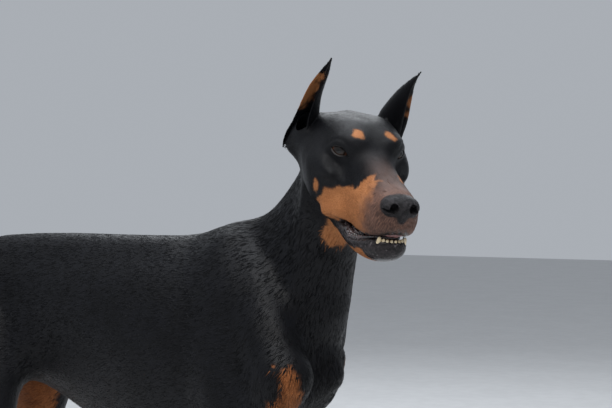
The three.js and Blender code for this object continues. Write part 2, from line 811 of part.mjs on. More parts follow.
const shankPlane = (leg) => ({ point: [leg.knee[0] - 42, 0, leg.knee[1] - 42], normal: [-0.72, 0, -0.69] });

const pieces = {};

// Trunk, neck and tail
pieces.torso = fleshOf(body, cell.torso, [-430, -160, 326], [420, 160, 730])
  .subtract(halfSpace(neckBase.point, neckBase.normal))
  .subtract(tailCut(gap));
for (const leg of Object.values(stance)) {
  pieces.torso = pieces.torso.subtract(limbSlab(leg, gap));
}
pieces.neck = fleshOf(body, cell.neck, [180, -180, 430], [500, 140, 880])
  .intersect(halfSpace(neckBase.point, neckBase.normal, gap))
  .subtract(halfSpace(throat.point, throat.normal));
pieces.neck = pieces.neck
  .subtract(limbSlab(stance.front_right, gap))
  .subtract(limbSlab(stance.front_left, gap));
pieces.tail = fleshOf(body, cell.tail, [-470, -50, 590], [-310, 50, 740]).intersect(tailCut(0));

// Legs
const ground = halfSpace([0, 0, 0], [0, 0, -1]);
for (const [name, leg] of Object.entries(stance)) {
  const s = leg.side;
  const front = Boolean(leg.elbow);
  const yLo = s > 0 ? 14 : -170;
  const yHi = s > 0 ? 170 : -14;
  const xs = front ? [140, 420] : [-470, -120];
  const upper = front ? 'shoulder' : 'thigh';
  const lower = front ? 'forearm' : 'shank';
  const cutZ = front ? pasternCut.front : pasternCut.hind;
  const joint = front ? { point: [0, 0, kneeCut], normal: [0, 0, -1] } : shankPlane(leg);
  pieces[`${name}_${upper}`] = fleshOf(body, cell[upper], [xs[0], yLo, 290], [xs[1], yHi, 720])
    .intersect(limbSlab(leg, 0))
    .subtract(halfSpace(joint.point, joint.normal));
  const lowerSkin = fleshOf(body, cell[lower], [xs[0] - 30, yLo, 20], [xs[1], yHi, 430]);
  pieces[`${name}_${lower}`] = lowerSkin
    .intersect(halfSpace(joint.point, joint.normal, gap))
    .subtract(halfSpace([0, 0, cutZ], [0, 0, -1]));
  const withPaw = (x, y, z) => blend(body(x, y, z), pawField[name](x, y, z), 9);
  const px = leg.paw;
  const pawSkin = fleshOf(withPaw, cell.paw, [px - 72, s * 84 - 56, -14], [px + 64, s * 84 + 56, 80]);
  const claws = [-1.5, -0.5, 0.5, 1.5].map((toe) => {
    const size = front ? 1 : 0.93;
    const reach = Math.abs(toe) < 1 ? 0 : -11;
    const y = s * (front ? legLine - 1 : legLine + 4) + toe * 15.5 * size;
    const claw = new THREE.ConeGeometry(4.2, 17, 8, 1).scale(1, 1, 1.2).rotateZ(-125 * rad);
    claw.translate(px + (41 + reach) * size, y, 9);
    return solid(claw);
  });
  let made = pawSkin;
  for (const claw of claws) {
    made = made.add(claw);
  }
  pieces[`${name}_paw`] = made
    .intersect(halfSpace([0, 0, cutZ], [0, 0, -1], gap))
    .subtract(ground);
}

// Head, in its own frame
const eyeAt = (s) => [eyeCentre[0], s * eyeCentre[1], eyeCentre[2]];
const eyeBall = (s, grow) => {
  const g = new THREE.SphereGeometry(eyeRadius + grow, 14, 8);
  g.translate(...eyeAt(s));
  return solid(g);
};

// The lids' edges, seen along the gaze with x towards the temple
const innerCorner = [-11.5, -1.5];
const outerCorner = [10.5, 1];
const lidArch = { upper: [-2, 12.5], lower: [3, -9.5] };

function gazeFrame(s) {
  const z = vec(lookDirection(s)).normalize();
  const x = new THREE.Vector3().crossVectors(vec([0, 0, 1]), z).normalize();
  const y = new THREE.Vector3().crossVectors(z, x);
  return new THREE.Matrix4().makeBasis(x, y, z).setPosition(vec(eyeAt(s)));
}

function lidEdge(s, lid) {
  const [a, b, c] = [innerCorner, lidArch[lid], outerCorner].map(([x, y]) => new THREE.Vector2(s * x, y));
  return new THREE.QuadraticBezierCurve(a, b, c);
}

// The almond-shaped opening between the lids
function lidOpening(s) {
  const lower = lidEdge(s, 'lower').getPoints(8).reverse().slice(1, -1);
  const outline = lidEdge(s, 'upper').getPoints(8).concat(lower);
  const g = new THREE.ExtrudeGeometry(new THREE.Shape(outline), { depth: 26, bevelEnabled: false });
  return solid(g, gazeFrame(s));
}

// A round rim along a list of points
function rim(points, radius, steps) {
  const section = new THREE.Shape(new THREE.EllipseCurve(0, 0, radius, radius).getPoints(5).slice(1));
  const extrudePath = new THREE.CatmullRomCurve3(points);
  return new THREE.ExtrudeGeometry(section, { extrudePath, steps, bevelEnabled: false });
}

// One lid's rim, lying on the eyeball
function lidRim(s, lid) {
  const r = eyeRadius + lidRadius + gap;
  const onBall = (p) => new THREE.Vector3(p.x, p.y, Math.sqrt(r * r - p.lengthSq()));
  const points = lidEdge(s, lid).getPoints(6).map(onBall);
  return solid(rim(points, lidRadius, 7), gazeFrame(s));
}

// Side view outline in the head's frame, extruded across the head
function across(points, half) {
  const shape = new THREE.Shape(points.map(([x, z]) => new THREE.Vector2(x, z)));
  const g = new THREE.ExtrudeGeometry(shape, { depth: 2 * half, bevelEnabled: false, steps: 1 });
  g.rotateX(Math.PI / 2);
  g.translate(0, half, 0);
  return solid(g);
}

const upperLip = [
  [27, -73], [40, -73.5], [56, -73.5], [84, -67.5], [105, -60.5], [118, -53.5], [128, -45], [150, -43],
];
const lowerLip = [
  [150, -61], [126, -61], [112, -63], [98, -68], [84, -74.5], [66, -83], [52, -86], [38, -83], [27, -75],
];
const mouth = across([...upperLip, ...lowerLip], 60);
const jawTop = [[160, -52], [128, -53], [105, -63.5], [84, -71], [56, -77], [27, -74]];
const jawSide = (grow) => across([
  [20 - grow, -140], [160, -140], ...jawTop.map(([x, z]) => [x, z + grow]), [20 - grow, -74 + grow],
], 80);

// The hollow inside the cheeks, rounded at the front, with the roof of the mouth above
function palate() {
  const shape = new THREE.Shape();
  shape.moveTo(31, -19);
  shape.lineTo(98, -20);
  shape.quadraticCurveTo(120, -18, 120, 0);
  shape.quadraticCurveTo(120, 18, 98, 20);
  shape.lineTo(31, 19);
  const g = new THREE.ExtrudeGeometry(shape, { depth: 58, bevelEnabled: false, curveSegments: 6 });
  return solid(g.translate(0, 0, -108));
}

// Height of a lip's edge at a place along the muzzle
function lipHeight(edge, x) {
  const sorted = [...edge].sort((a, b) => a[0] - b[0]);
  const k = clamp(sorted.findIndex((p) => p[0] > x), 1, sorted.length - 1);
  const [a, b] = [sorted[k - 1], sorted[k]];
  return mix(a[1], b[1], clamp((x - a[0]) / (b[0] - a[0]), 0, 1));
}

// The rim of a lip from one corner of the mouth round the front to the other, on the skin of the head
function lipRim(edge, lift) {
  const centre = 62;
  const points = [];
  for (let k = -9; k <= 9; k += 1) {
    const a = (k / 9) * 138 * rad;
    let r = 20;
    const at = () => {
      const x = centre + r * Math.cos(a);
      return [x, r * Math.sin(a) * 0.8, lipHeight(edge, x) + lift];
    };
    while (headOnly(...at()) < -1.2 && r < 90) {
      r += 0.5;
    }
    points.push(vec(at()));
  }
  return solid(rim(points, lipRadius, 21));
}

const noseField = gather([
  [mass([115, 0, -18.5], [17.5, 21, 13.5]), 1],
  [mass([118.5, 12.5, -19], [12.5, 10, 11]), 5],
  [mass([118.5, -12.5, -19], [12.5, 10, 11]), 5],
  [mass([121, 0, -28], [9.5, 7.5, 12], [0, 0, 1], [1, 0, 0]), 6],
]);
const noseBlock = (grow) => solid(
  new THREE.BoxGeometry(60 + 2 * grow, 60, 60 + 2 * grow).translate(107.5 + 30, 0, -37 + 30),
);

function nostril(s) {
  const hole = new THREE.SphereGeometry(1, 10, 7).scale(10, 4.2, 4.8);
  hole.rotateZ(s * 0.25).translate(128, s * 11, -16.5);
  const slit = new THREE.SphereGeometry(1, 10, 6).scale(10, 6.5, 1.7);
  slit.rotateZ(s * -0.5).rotateX(s * -0.5).translate(124, s * 17.5, -20);
  return solid(hole).add(solid(slit));
}

// Cropped ear: a cupped blade whose outer edge starts lower than its inner one, opening forward and out
function earFrame(s) {
  const root = vec([earRootAt[0], s * earRootAt[1], earRootAt[2]]);
  const tip = vec([earTipAt[0], s * earTipAt[1], earTipAt[2]]);
  const height = tip.distanceTo(root);
  const z = tip.clone().sub(root).normalize();
  const open = vec([earOpening[0], s * earOpening[1], earOpening[2]]);
  open.addScaledVector(z, -open.dot(z)).normalize();
  const x = new THREE.Vector3().crossVectors(open, z);
  return { root, z, open, x, height, s };
}

// The blade's section from root to tip: radius, sweep to each side in degrees, how deep the cup is
const bladeStations = [
  [18, 142, 1.1], [19.5, 122, 1.05], [18, 102, 0.95], [15, 86, 0.9],
  [11.5, 74, 0.85], [7, 62, 0.8], [2, 58, 0.8],
];
const bladeRows = 10;
const bladeColumns = 8;
const bladeRings = smoothStations(bladeStations, bladeRows);

// A point of the blade by row and column, inset from its back; the lobe hangs at the outer edge
function bladePoint(frame, row, column, inset) {
  const [radius, sweep, cup] = bladeRings[row];
  const t = row / bladeRows;
  const u = (2 * column) / bladeColumns - 1;
  const start = -16 - 20 * Math.max(-u, 0) ** 1.5;
  const a = u * sweep * rad;
  const lobe = 1 + 0.28 * Math.max(-u, 0) ** 2 * Math.exp(-((t - 0.1) ** 2) / 0.02);
  const p = frame.root.clone().addScaledVector(frame.z, mix(start, frame.height, t));
  const reach = radius - Math.min(inset, 0.5 * radius);
  p.addScaledVector(frame.x, Math.sin(a) * reach * frame.s * lobe);
  const forwardBow = 3 * Math.sin(Math.PI * t);
  return p.addScaledVector(frame.open, forwardBow - Math.cos(a) * reach * cup).toArray();
}

function earBlade(s) {
  const frame = earFrame(s);
  const points = [];
  for (const inset of [0, earThickness]) {
    for (let i = 0; i <= bladeRows; i += 1) {
      for (let j = 0; j <= bladeColumns; j += 1) {
        points.push(bladePoint(frame, i, j, inset));
      }
    }
  }
  const id = (layer, i, j) => (layer * (bladeRows + 1) + i) * (bladeColumns + 1) + j;
  const faces = [];
  const quad = (a, b, c, d) => faces.push(...(s < 0 ? [[a, b, c], [a, c, d]] : [[a, c, b], [a, d, c]]));
  for (let i = 0; i < bladeRows; i += 1) {
    for (let j = 0; j < bladeColumns; j += 1) {
      quad(id(0, i, j), id(0, i + 1, j), id(0, i + 1, j + 1), id(0, i, j + 1));
      quad(id(1, i, j), id(1, i, j + 1), id(1, i + 1, j + 1), id(1, i + 1, j));
    }
    quad(id(0, i, 0), id(1, i, 0), id(1, i + 1, 0), id(0, i + 1, 0));
    const j = bladeColumns;
    quad(id(0, i, j), id(0, i + 1, j), id(1, i + 1, j), id(1, i, j));
  }
  for (let j = 0; j < bladeColumns; j += 1) {
    quad(id(0, 0, j), id(0, 0, j + 1), id(1, 0, j + 1), id(1, 0, j));
    quad(id(0, bladeRows, j), id(1, bladeRows, j), id(1, bladeRows, j + 1), id(0, bladeRows, j + 1));
  }
  const g = new THREE.BufferGeometry();
  g.setAttribute('position', new THREE.Float32BufferAttribute(points.flat(), 3));
  g.setIndex(faces.flat());
  return solid(g);
}

// A point by height along an ear, towards its opening and to its inner side
function inEar(f, h, o, a) {
  const p = f.root.clone().addScaledVector(f.z, h);
  return p.addScaledVector(f.open, o).addScaledVector(f.x, a * f.s).toArray();
}

// The soft root of the ear behind the cup
function earRoot(s) {
  const f = earFrame(s);
  return gather([
    [limb(inEar(f, -26, -2, -2), inEar(f, 4, -4, 0), 19, 14.5), 1],
    [mass(inEar(f, -8, -6, 14), [16, 9, 12], f.z.toArray()), 10],
  ]);
}

function earHollow(s) {
  const f = earFrame(s);
  const m = new THREE.Matrix4().makeBasis(f.x, f.z, new THREE.Vector3().crossVectors(f.x, f.z));
  m.setPosition(vec(inEar(f, 20, 1.5, 0)));
  return solid(new THREE.SphereGeometry(1, 12, 9).scale(11.5, 36, 11.5), m);
}

const earPlane = (s) => {
  const f = earFrame(s);
  return { point: f.root.clone().addScaledVector(f.z, 2).toArray(), normal: [0.2, s * 0.62, 0.76] };
};
const roots = { right: earRoot(-1), left: earRoot(1) };
const headWithEars = (x, y, z) => {
  let d = inHeadFrame(x, y, z);
  d = blend(d, roots.right(x, y, z), 12);
  d = blend(d, roots.left(x, y, z), 12);
  return blend(d, noseField(x, y, z), 3);
};

const toHeadFrame = (plane) => ({
  point: toHead(...plane.point),
  normal: vec(plane.normal).transformDirection(headInverse).toArray(),
});
const throatHere = toHeadFrame(throat);
let head = fleshOf(headWithEars, cell.head, [-150, -92, -140], [142, 92, 66]);
head = head.intersect(halfSpace(throatHere.point, throatHere.normal, gap));
head = head.subtract(mouth).subtract(palate()).add(lipRim(upperLip, 2.2)).subtract(jawSide(gap));
head = head.subtract(noseBlock(gap));

// The space around one ear
function earZone(s, shrink) {
  const f = earFrame(s);
  const g = new THREE.CylinderGeometry(28 - shrink, 28 - shrink, 300, 24);
  const m = new THREE.Matrix4().makeBasis(f.x, f.z, new THREE.Vector3().crossVectors(f.x, f.z));
  return solid(g, m.setPosition(f.root.clone().addScaledVector(f.z, 100)));
}

for (const s of [-1, 1]) {
  const plane = earPlane(s);
  const above = halfSpace(plane.point, plane.normal);
  head = head.subtract(above.intersect(earZone(s, 0))).subtract(earHollow(s));
  head = head.add(eyeBall(s, lidThickness)).subtract(eyeBall(s, gap)).subtract(lidOpening(s));
  head = head.add(lidRim(s, 'upper')).add(lidRim(s, 'lower')).subtract(eyeBall(s, gap));
}

const headPieces = { head };
for (const [side, s] of [['right', -1], ['left', 1]]) {
  const plane = earPlane(s);
  const [inner, outer] = s > 0 ? [6, 100] : [-100, -6];
  const root = fleshOf(headWithEars, cell.ear, [-140, inner, -50], [-10, outer, 66]);
  const zone = halfSpace(plane.point, plane.normal, gap).intersect(earZone(s, gap));
  headPieces[`ear_${side}`] = root.add(earBlade(s)).intersect(zone).subtract(earHollow(s));
  headPieces[`eye_${side}`] = eyeBall(s, 0);
}
headPieces.nose = fleshOf(headWithEars, cell.nose, [96, -34, -46], [142, 34, 6])
  .intersect(noseBlock(0))
  .subtract(nostril(1))
  .subtract(nostril(-1));

// Lower jaw with its teeth, and the tongue lying in it
function tongueSolid(grow) {
  const g = new THREE.SphereGeometry(1, 14, 8).scale(37 + grow, 14.5 + grow, 7 + grow);
  g.rotateY(-0.13);
  g.translate(70, 0, -73);
  return solid(g);
}

function tooth(x, y, z, radius, height, lean) {
  const g = new THREE.ConeGeometry(radius, height, 10, 1).rotateX(Math.PI / 2);
  g.rotateY(lean);
  g.translate(x, y, z + height / 2 - 2);
  return solid(g);
}

let jawSolid = fleshOf((x, y, z) => inHeadFrame(x, y, z), cell.jaw, [6, -50, -124], [140, 50, -44]);
jawSolid = jawSolid.subtract(mouth).add(lipRim(lowerLip, -2));
jawSolid = jawSolid.intersect(jawSide(0)).subtract(tongueSolid(gap));
for (const s of [-1, 1]) {
  jawSolid = jawSolid.add(tooth(112, s * 14, -64, 3.2, 9.5, 0.12));
  for (const [i, y] of [3, 7, 11].entries()) {
    jawSolid = jawSolid.add(tooth(117 - i * 1.3, s * y, -62.5, 2.2, 6, 0.2));
  }
}
headPieces.lower_jaw = jawSolid;
headPieces.tongue = tongueSolid(0);

// The dog, with the head's pieces turned into place and everything over the middle of its feet
const looks = {
  eye: iris, nose: leather, tongue: flesh, lower_jaw: tan, paw: tan, ear: coat,
};
const lookOf = (name) => Object.entries(looks).find(([key]) => name.includes(key))?.[1] ?? coat;
const doberman = new THREE.Group();
const headGroup = new THREE.Group();
headGroup.matrix.copy(headMatrix);
headGroup.matrix.decompose(headGroup.position, headGroup.quaternion, headGroup.scale);
doberman.add(headGroup);

function place(group, name, shape) {
  const mesh = new THREE.Mesh(geometryOf(shape), new THREE.MeshStandardMaterial(lookOf(name)));
  mesh.name = name;
  group.add(mesh);
}

for (const [name, shape] of Object.entries(pieces)) {
  place(doberman, name, shape);
}
for (const [name, shape] of Object.entries(headPieces)) {
  place(headGroup, name, shape);
}
doberman.updateMatrixWorld(true);
const box = new THREE.Box3().setFromObject(doberman, true);
const middle = box.getCenter(new THREE.Vector3());
doberman.position.set(-middle.x, -middle.y, -box.min.z);

export default doberman;
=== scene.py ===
import json
import math

import bpy
import numpy as np
from mathutils import Matrix, Vector
from mathutils.bvhtree import BVHTree
from mathutils.geometry import barycentric_transform

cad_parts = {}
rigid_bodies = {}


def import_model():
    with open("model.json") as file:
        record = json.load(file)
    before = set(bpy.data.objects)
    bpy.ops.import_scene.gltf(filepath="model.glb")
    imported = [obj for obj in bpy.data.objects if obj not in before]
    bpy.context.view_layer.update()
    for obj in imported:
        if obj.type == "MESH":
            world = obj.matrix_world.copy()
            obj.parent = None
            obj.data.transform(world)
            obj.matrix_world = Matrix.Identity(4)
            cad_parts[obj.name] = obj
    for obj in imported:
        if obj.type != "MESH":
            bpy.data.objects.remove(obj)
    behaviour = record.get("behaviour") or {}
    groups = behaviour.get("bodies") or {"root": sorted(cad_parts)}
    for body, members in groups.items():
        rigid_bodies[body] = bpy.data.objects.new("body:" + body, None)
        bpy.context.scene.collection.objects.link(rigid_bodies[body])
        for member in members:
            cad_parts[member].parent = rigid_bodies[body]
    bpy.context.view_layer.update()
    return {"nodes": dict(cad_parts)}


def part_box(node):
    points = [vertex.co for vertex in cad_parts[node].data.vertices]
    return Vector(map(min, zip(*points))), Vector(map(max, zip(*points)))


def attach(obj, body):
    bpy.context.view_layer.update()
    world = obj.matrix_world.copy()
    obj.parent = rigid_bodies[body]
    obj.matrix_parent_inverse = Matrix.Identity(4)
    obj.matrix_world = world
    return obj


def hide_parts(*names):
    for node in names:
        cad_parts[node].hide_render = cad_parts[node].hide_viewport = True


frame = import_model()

bpy.ops.object.select_all(action="DESELECT")

# The dog is shaped in millimetres in the trunk's frame: x forward, y to its left, z up.
# The head has a frame of its own between the eyes: x along the muzzle, y left, z up.
stance = {
    "headTurn": 37,
    "headPitch": 22.5,
    "headRoll": 2.5,
    "betweenEyes": (494.7, -126.3, 785),
    "legLine": 84,
    "eyeCentre": (-7.5, 30.5, 0),
    "eyeRadius": 12.9,
    "gaze": (0.77, 0.62, 0.1),
}
# Each leg's side, then its shoulder or hip, elbow or knee, wrist or hock as x and z, and its paw's x
legs = {
    "front_right": {"side": -1, "top": (337, 514), "bend": (262, 374), "low": (296, 166), "paw": 312},
    "front_left": {"side": 1, "top": (270, 516), "bend": (192, 374), "low": (208, 166), "paw": 224},
    "hind_right": {"side": -1, "top": (-266, 556), "bend": (-214, 366), "low": (-404, 192), "paw": -366},
    "hind_left": {"side": 1, "top": (-280, 556), "bend": (-292, 364), "low": (-478, 194), "paw": -440},
}
for name, leg in legs.items():
    leg["front"] = name.startswith("front")
# Toes as places across the paw in steps of their spacing, and how far the outer two stand back
paws = {"toes": (-1.5, -0.5, 0.5, 1.5), "spacing": 15.5, "outerBack": -11, "hindSize": 0.93}


def unit(v):
    v = np.asarray(v, float)
    return v / np.linalg.norm(v)


def lengths(rows):
    return np.linalg.norm(rows, axis=1)


def mix(a, b, t):
    return a + (b - a) * t


def smooth(lo, hi, v):
    t = np.clip((v - lo) / (hi - lo), 0, 1)
    return t * t * (3 - 2 * t)


# The head's axes in the trunk's frame
turn, pitch, roll = (math.radians(stance[k]) for k in ("headTurn", "headPitch", "headRoll"))
headForward = np.array([math.cos(pitch) * math.cos(turn), -math.cos(pitch) * math.sin(turn),
                        -math.sin(pitch)])
levelLeft = np.array([math.sin(turn), math.cos(turn), 0])
levelUp = np.cross(headForward, levelLeft)
headLeft = levelLeft * math.cos(roll) - levelUp * math.sin(roll)
headUp = np.cross(headForward, headLeft)
headAxes = np.array([headForward, headLeft, headUp])
betweenEyes = np.array(stance["betweenEyes"])

# The trunk's frame in the model's frame, found from the two eyes
eyeBoxes = [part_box("eye_right"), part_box("eye_left")]
eyesMiddle = sum((np.array(lo) + np.array(hi)) / 2 for lo, hi in eyeBoxes) / 2 * 1000
trunkShift = betweenEyes + headForward * stance["eyeCentre"][0] - eyesMiddle


def toTrunk(metres):
    return np.asarray(metres) * 1000 + trunkShift


def toMetres(trunk):
    return (np.asarray(trunk) - trunkShift) / 1000


def toHead(trunk):
    return (np.asarray(trunk) - betweenEyes) @ headAxes.T


def fromHead(head):
    return np.asarray(head) @ headAxes + betweenEyes


# Fields: each form gives about the distance to its surface, negative inside
class Form:
    def __init__(self, distance, low, high):
        self.distance = distance
        self.low = np.asarray(low, float)
        self.high = np.asarray(high, float)


def blend(a, b, soft):
    h = np.maximum(soft - np.abs(a - b), 0) / soft
    return np.minimum(a, b) - h * h * soft / 4


def carve(a, b, soft):
    return -blend(-a, b, soft)


# An ellipsoid with its first radius along a given direction
def mass(at, size, along=(1, 0, 0), upward=(0, 0, 1)):
    at, size = np.asarray(at, float), np.asarray(size, float)
    a = unit(along)
    c = unit(np.asarray(upward) - a * np.dot(upward, a))
    axes = np.array([a, np.cross(c, a), c])

    def distance(p):
        q = (p - at) @ axes.T / size
        g = lengths(q)
        return g * (g - 1) / np.maximum(lengths(q / size), 1e-6)
    return Form(distance, at - size.max(), at + size.max())


# A round limb that tapers from one end to the other
def limb(a, b, ra, rb):
    a, b = np.asarray(a, float), np.asarray(b, float)
    d = b - a

    def distance(p):
        q = p - a
        t = np.clip(q @ d / (d @ d), 0, 1)
        return lengths(q - t[:, None] * d) - mix(ra, rb, t)
    reach = max(ra, rb)
    return Form(distance, np.minimum(a, b) - reach, np.maximum(a, b) + reach)


# A curve through stations of any number of values
def smoothStations(stations, samples):
    s = np.asarray(stations, float)
    n = len(s) - 1
    at = np.linspace(0, n, samples + 1)
    k = np.minimum(at.astype(int), n - 1)
    t = (at - k)[:, None]
    p0, p1, p2, p3 = s[np.maximum(k - 1, 0)], s[k], s[k + 1], s[np.minimum(k + 2, n)]
    m1, m2 = (p2 - p0) / 2, (p3 - p1) / 2
    ends = (2 * t**3 - 3 * t**2 + 1) * p1 + (3 * t**2 - 2 * t**3) * p2
    return ends + (t**3 - 2 * t**2 + t) * m1 + (t**3 - t**2) * m2


# A tube with an elliptical section: stations are x, y, z, half width, half depth
def tube(stations, sideA=(0, 1, 0), sideB=None, samples=18):
    rings = smoothStations(stations, samples)
    start = rings[:-1, :3]
    along = rings[1:, :3] - start
    length = lengths(along)
    along /= length[:, None]
    share = (np.arange(samples)[:, None] + 0.5) / samples
    side = mix(np.asarray(sideA, float), np.asarray(sideA if sideB is None else sideB, float), share)
    side -= (side * along).sum(1)[:, None] * along
    side /= lengths(side)[:, None]
    deep = np.cross(along, side)

    def distance(p):
        best = np.full(len(p), 1e9)
        near = np.zeros(len(p), int)
        part = np.zeros(len(p))
        for i in range(samples):
            q = p - start[i]
            s = np.clip(q @ along[i], 0, length[i])
            d = ((q - s[:, None] * along[i]) ** 2).sum(1)
            m = d < best
            best[m], near[m], part[m] = d[m], i, s[m] / length[i]
        here = mix(rings[near], rings[near + 1], part[:, None])
        e = p - here[:, :3]
        u, v, l = ((e * w[near]).sum(1) for w in (side, deep, along))
        small = np.minimum(here[:, 3], here[:, 4])
        r = np.sqrt(u * u + v * v + l * l)
        g = np.sqrt((u / here[:, 3]) ** 2 + (v / here[:, 4]) ** 2 + (l / small) ** 2)
        return r * (1 - 1 / np.maximum(g, 1e-4))
    reach = rings[:, 3:].max()
    return Form(distance, rings[:, :3].min(0) - reach, rings[:, :3].max(0) + reach)


# A body along x with an egg-shaped section: stations are x, top, bottom, height of the widest line,
# half width, and how square the upper and the lower half are
def barrel(stations, soft=30):
    rings = smoothStations(stations, 60)
    lo, hi = rings[0, 0], rings[-1, 0]

    def distance(p):
        at = np.clip(p[:, 0], lo, hi)
        top, bottom, middle, wide, up, down = (np.interp(at, rings[:, 0], rings[:, j]) for j in range(1, 7))
        v = p[:, 2] - middle
        h = np.where(v > 0, top - middle, middle - bottom)
        n = np.where(v > 0, up, down)
        g = (np.abs(p[:, 1] / wide) ** n + np.abs(v / h) ** n) ** (1 / n)
        d = np.hypot(p[:, 1], v) * (1 - 1 / np.maximum(g, 1e-3))
        return -blend(-d, -(np.abs(p[:, 0] - (lo + hi) / 2) - (hi - lo) / 2), soft)
    wide = rings[:, 4].max()
    return Form(distance, (lo, -wide, rings[:, 2].min()), (hi, wide, rings[:, 1].max()))


# A form made of many: each entry is a form and how softly it joins the ones before it
def gather(parts, reach=34):
    def distance(p):
        d = np.full(len(p), 400.0)
        for form, soft in parts:
            near = np.all((p > form.low - soft - reach) & (p < form.high + soft + reach), axis=1)
            if near.any():
                d[near] = blend(d[near], form.distance(p[near]), soft)
        return d
    low = np.min([form.low for form, soft in parts], axis=0)
    high = np.max([form.high for form, soft in parts], axis=0)
    return Form(distance, low, high)


trunkStations = [
    (-352, 640, 570, 606, 46, 2, 2), (-320, 660, 520, 602, 66, 2, 2), (-270, 674, 486, 596, 78, 2, 2),
    (-210, 681, 462, 588, 80, 2, 1.9), (-150, 683, 447, 578, 80, 2, 1.9), (-90, 683, 424, 568, 86, 2, 1.85),
    (0, 681, 385, 552, 99, 2, 1.8), (90, 681, 358, 540, 107, 1.95, 1.75),
    (170, 684, 347, 538, 104, 1.85, 1.7), (235, 685, 360, 540, 92, 1.8, 1.75),
    (288, 662, 404, 540, 71, 1.9, 1.9), (330, 606, 462, 532, 46, 2, 2),
]


def trunkForms(s):
    return [
        (mass((-288, s * 42, 606), (72, 44, 54)), 40),
        (mass((-352, s * 42, 588), (26, 22, 30), (1, 0, 0.4)), 30),
        (limb((-240, s * 24, 652), (110, s * 26, 657), 19, 19), 26),
        (mass((298, s * 30, 490), (29, 27, 40), (0.7, 0, 0.7)), 30),
        (limb((-196, s * 66, 486), (-150, s * 62, 520), 14, 20), 50),
    ]


neckStations = [
    (252, 0, 592, 80, 118), (290, -2, 624, 65, 99), (315, -6, 657, 54, 80), (341, -15, 690, 46, 67),
    (368, -30, 720, 43, 60), (394, -47, 748, 44, 56), (*fromHead((-82, 0, -46)), 45, 48),
]
neckSteps = 24
neckRings = smoothStations(neckStations, neckSteps)


# A point in the neck: u from breast to skull, a to its left and b to its front as shares of its radii
def inNeck(u, a, b):
    k = round(u * neckSteps)
    p = neckRings[k]
    t = unit(neckRings[min(k + 1, neckSteps), :3] - neckRings[max(k - 1, 0), :3])
    side = mix(np.array([0, 1.0, 0]), headLeft, u)
    side = unit(side - t * (side @ t))
    return p[:3] + side * a * p[3] + np.cross(side, t) * b * p[4]


# Muscle to the breastbone, windpipe and nape: places in the neck and a radius, then their softness
neckStrands = [
    ([(0.1, 0.6, 0.62, 27), (0.34, 0.62, 0.48, 18), (0.62, 0.66, 0.3, 16), (0.96, 0.7, 0.05, 17)], 18),
    ([(0.16, 0.2, 0.78, 18), (0.4, 0.22, 0.74, 16), (0.66, 0.26, 0.7, 17), (0.94, 0.36, 0.64, 18)], 18),
    ([(0.08, 0.18, -0.8, 20), (0.36, 0.22, -0.76, 15), (0.66, 0.24, -0.72, 14), (0.94, 0.24, -0.7, 14)], 24),
]


def neckForms(s):
    return [(tube([(*inNeck(u, s * a, b), r, r) for u, a, b, r in strand], samples=36), soft)
            for strand, soft in neckStrands]


# Front leg: shoulder blade, upper arm, the three-headed muscle behind it, forearm and pastern
def frontLeg(leg):
    s, (sx, sz), (ex, ez), (wx, wz) = leg["side"], leg["top"], leg["bend"], leg["low"]
    y = s * stance["legLine"]
    back = (sx - ex) * 0.5
    return [
        (tube([(sx - 132, s * 42, 662, 15, 34), (sx - 88, s * 62, 614, 22, 46),
               (sx - 40, s * 77, 562, 29, 46), (sx - 3, s * 84, sz - 2, 32, 38)]), 22),
        (mass((sx + 2, s * 86, sz - 4), (34, 28, 40), (-0.4, 0, 1)), 20),
        (tube([(sx - 4, s * 85, sz - 6, 30, 38), (mix(sx, ex, 0.5), s * 87, mix(sz, ez, 0.5), 30, 40),
               (ex, y, ez, 26, 30)]), 22),
        (tube([(ex - 34 - back * 0.2, s * 68, 590, 20, 34), (ex - 22, s * 83, 510, 27, 48),
               (ex - 14, s * 86, 440, 26, 42), (ex - 20, y, 388, 19, 24)]), 22),
        (mass((ex - 31, y, ez + 8), (13, 12, 20), (0, 0, 1), (1, 0, 0)), 12),
        (tube([(ex - 2, y, ez + 4, 25, 31), (ex + (wx - ex) * 0.18 + 4, y, 336, 25, 31),
               (ex + (wx - ex) * 0.45 + 2, y - s, 276, 19.5, 23.5),
               (ex + (wx - ex) * 0.75, y - s * 2, 218, 15.5, 17.5), (wx, y - s * 3, wz, 18.5, 18),
               (wx + 3, y - s * 3, 124, 15.5, 15), (wx + 8, y - s * 2, 82, 16, 15),
               (wx + 15, y - s, 44, 20, 17)], samples=26), 14),
        (limb((ex - 22, y, 352), (ex - 10, y, 280), 17, 12), 16),
        (mass((wx - 11, y - s * 3, 150), (12, 9, 10), (0, 0, 1), (1, 0, 0)), 14),
    ]


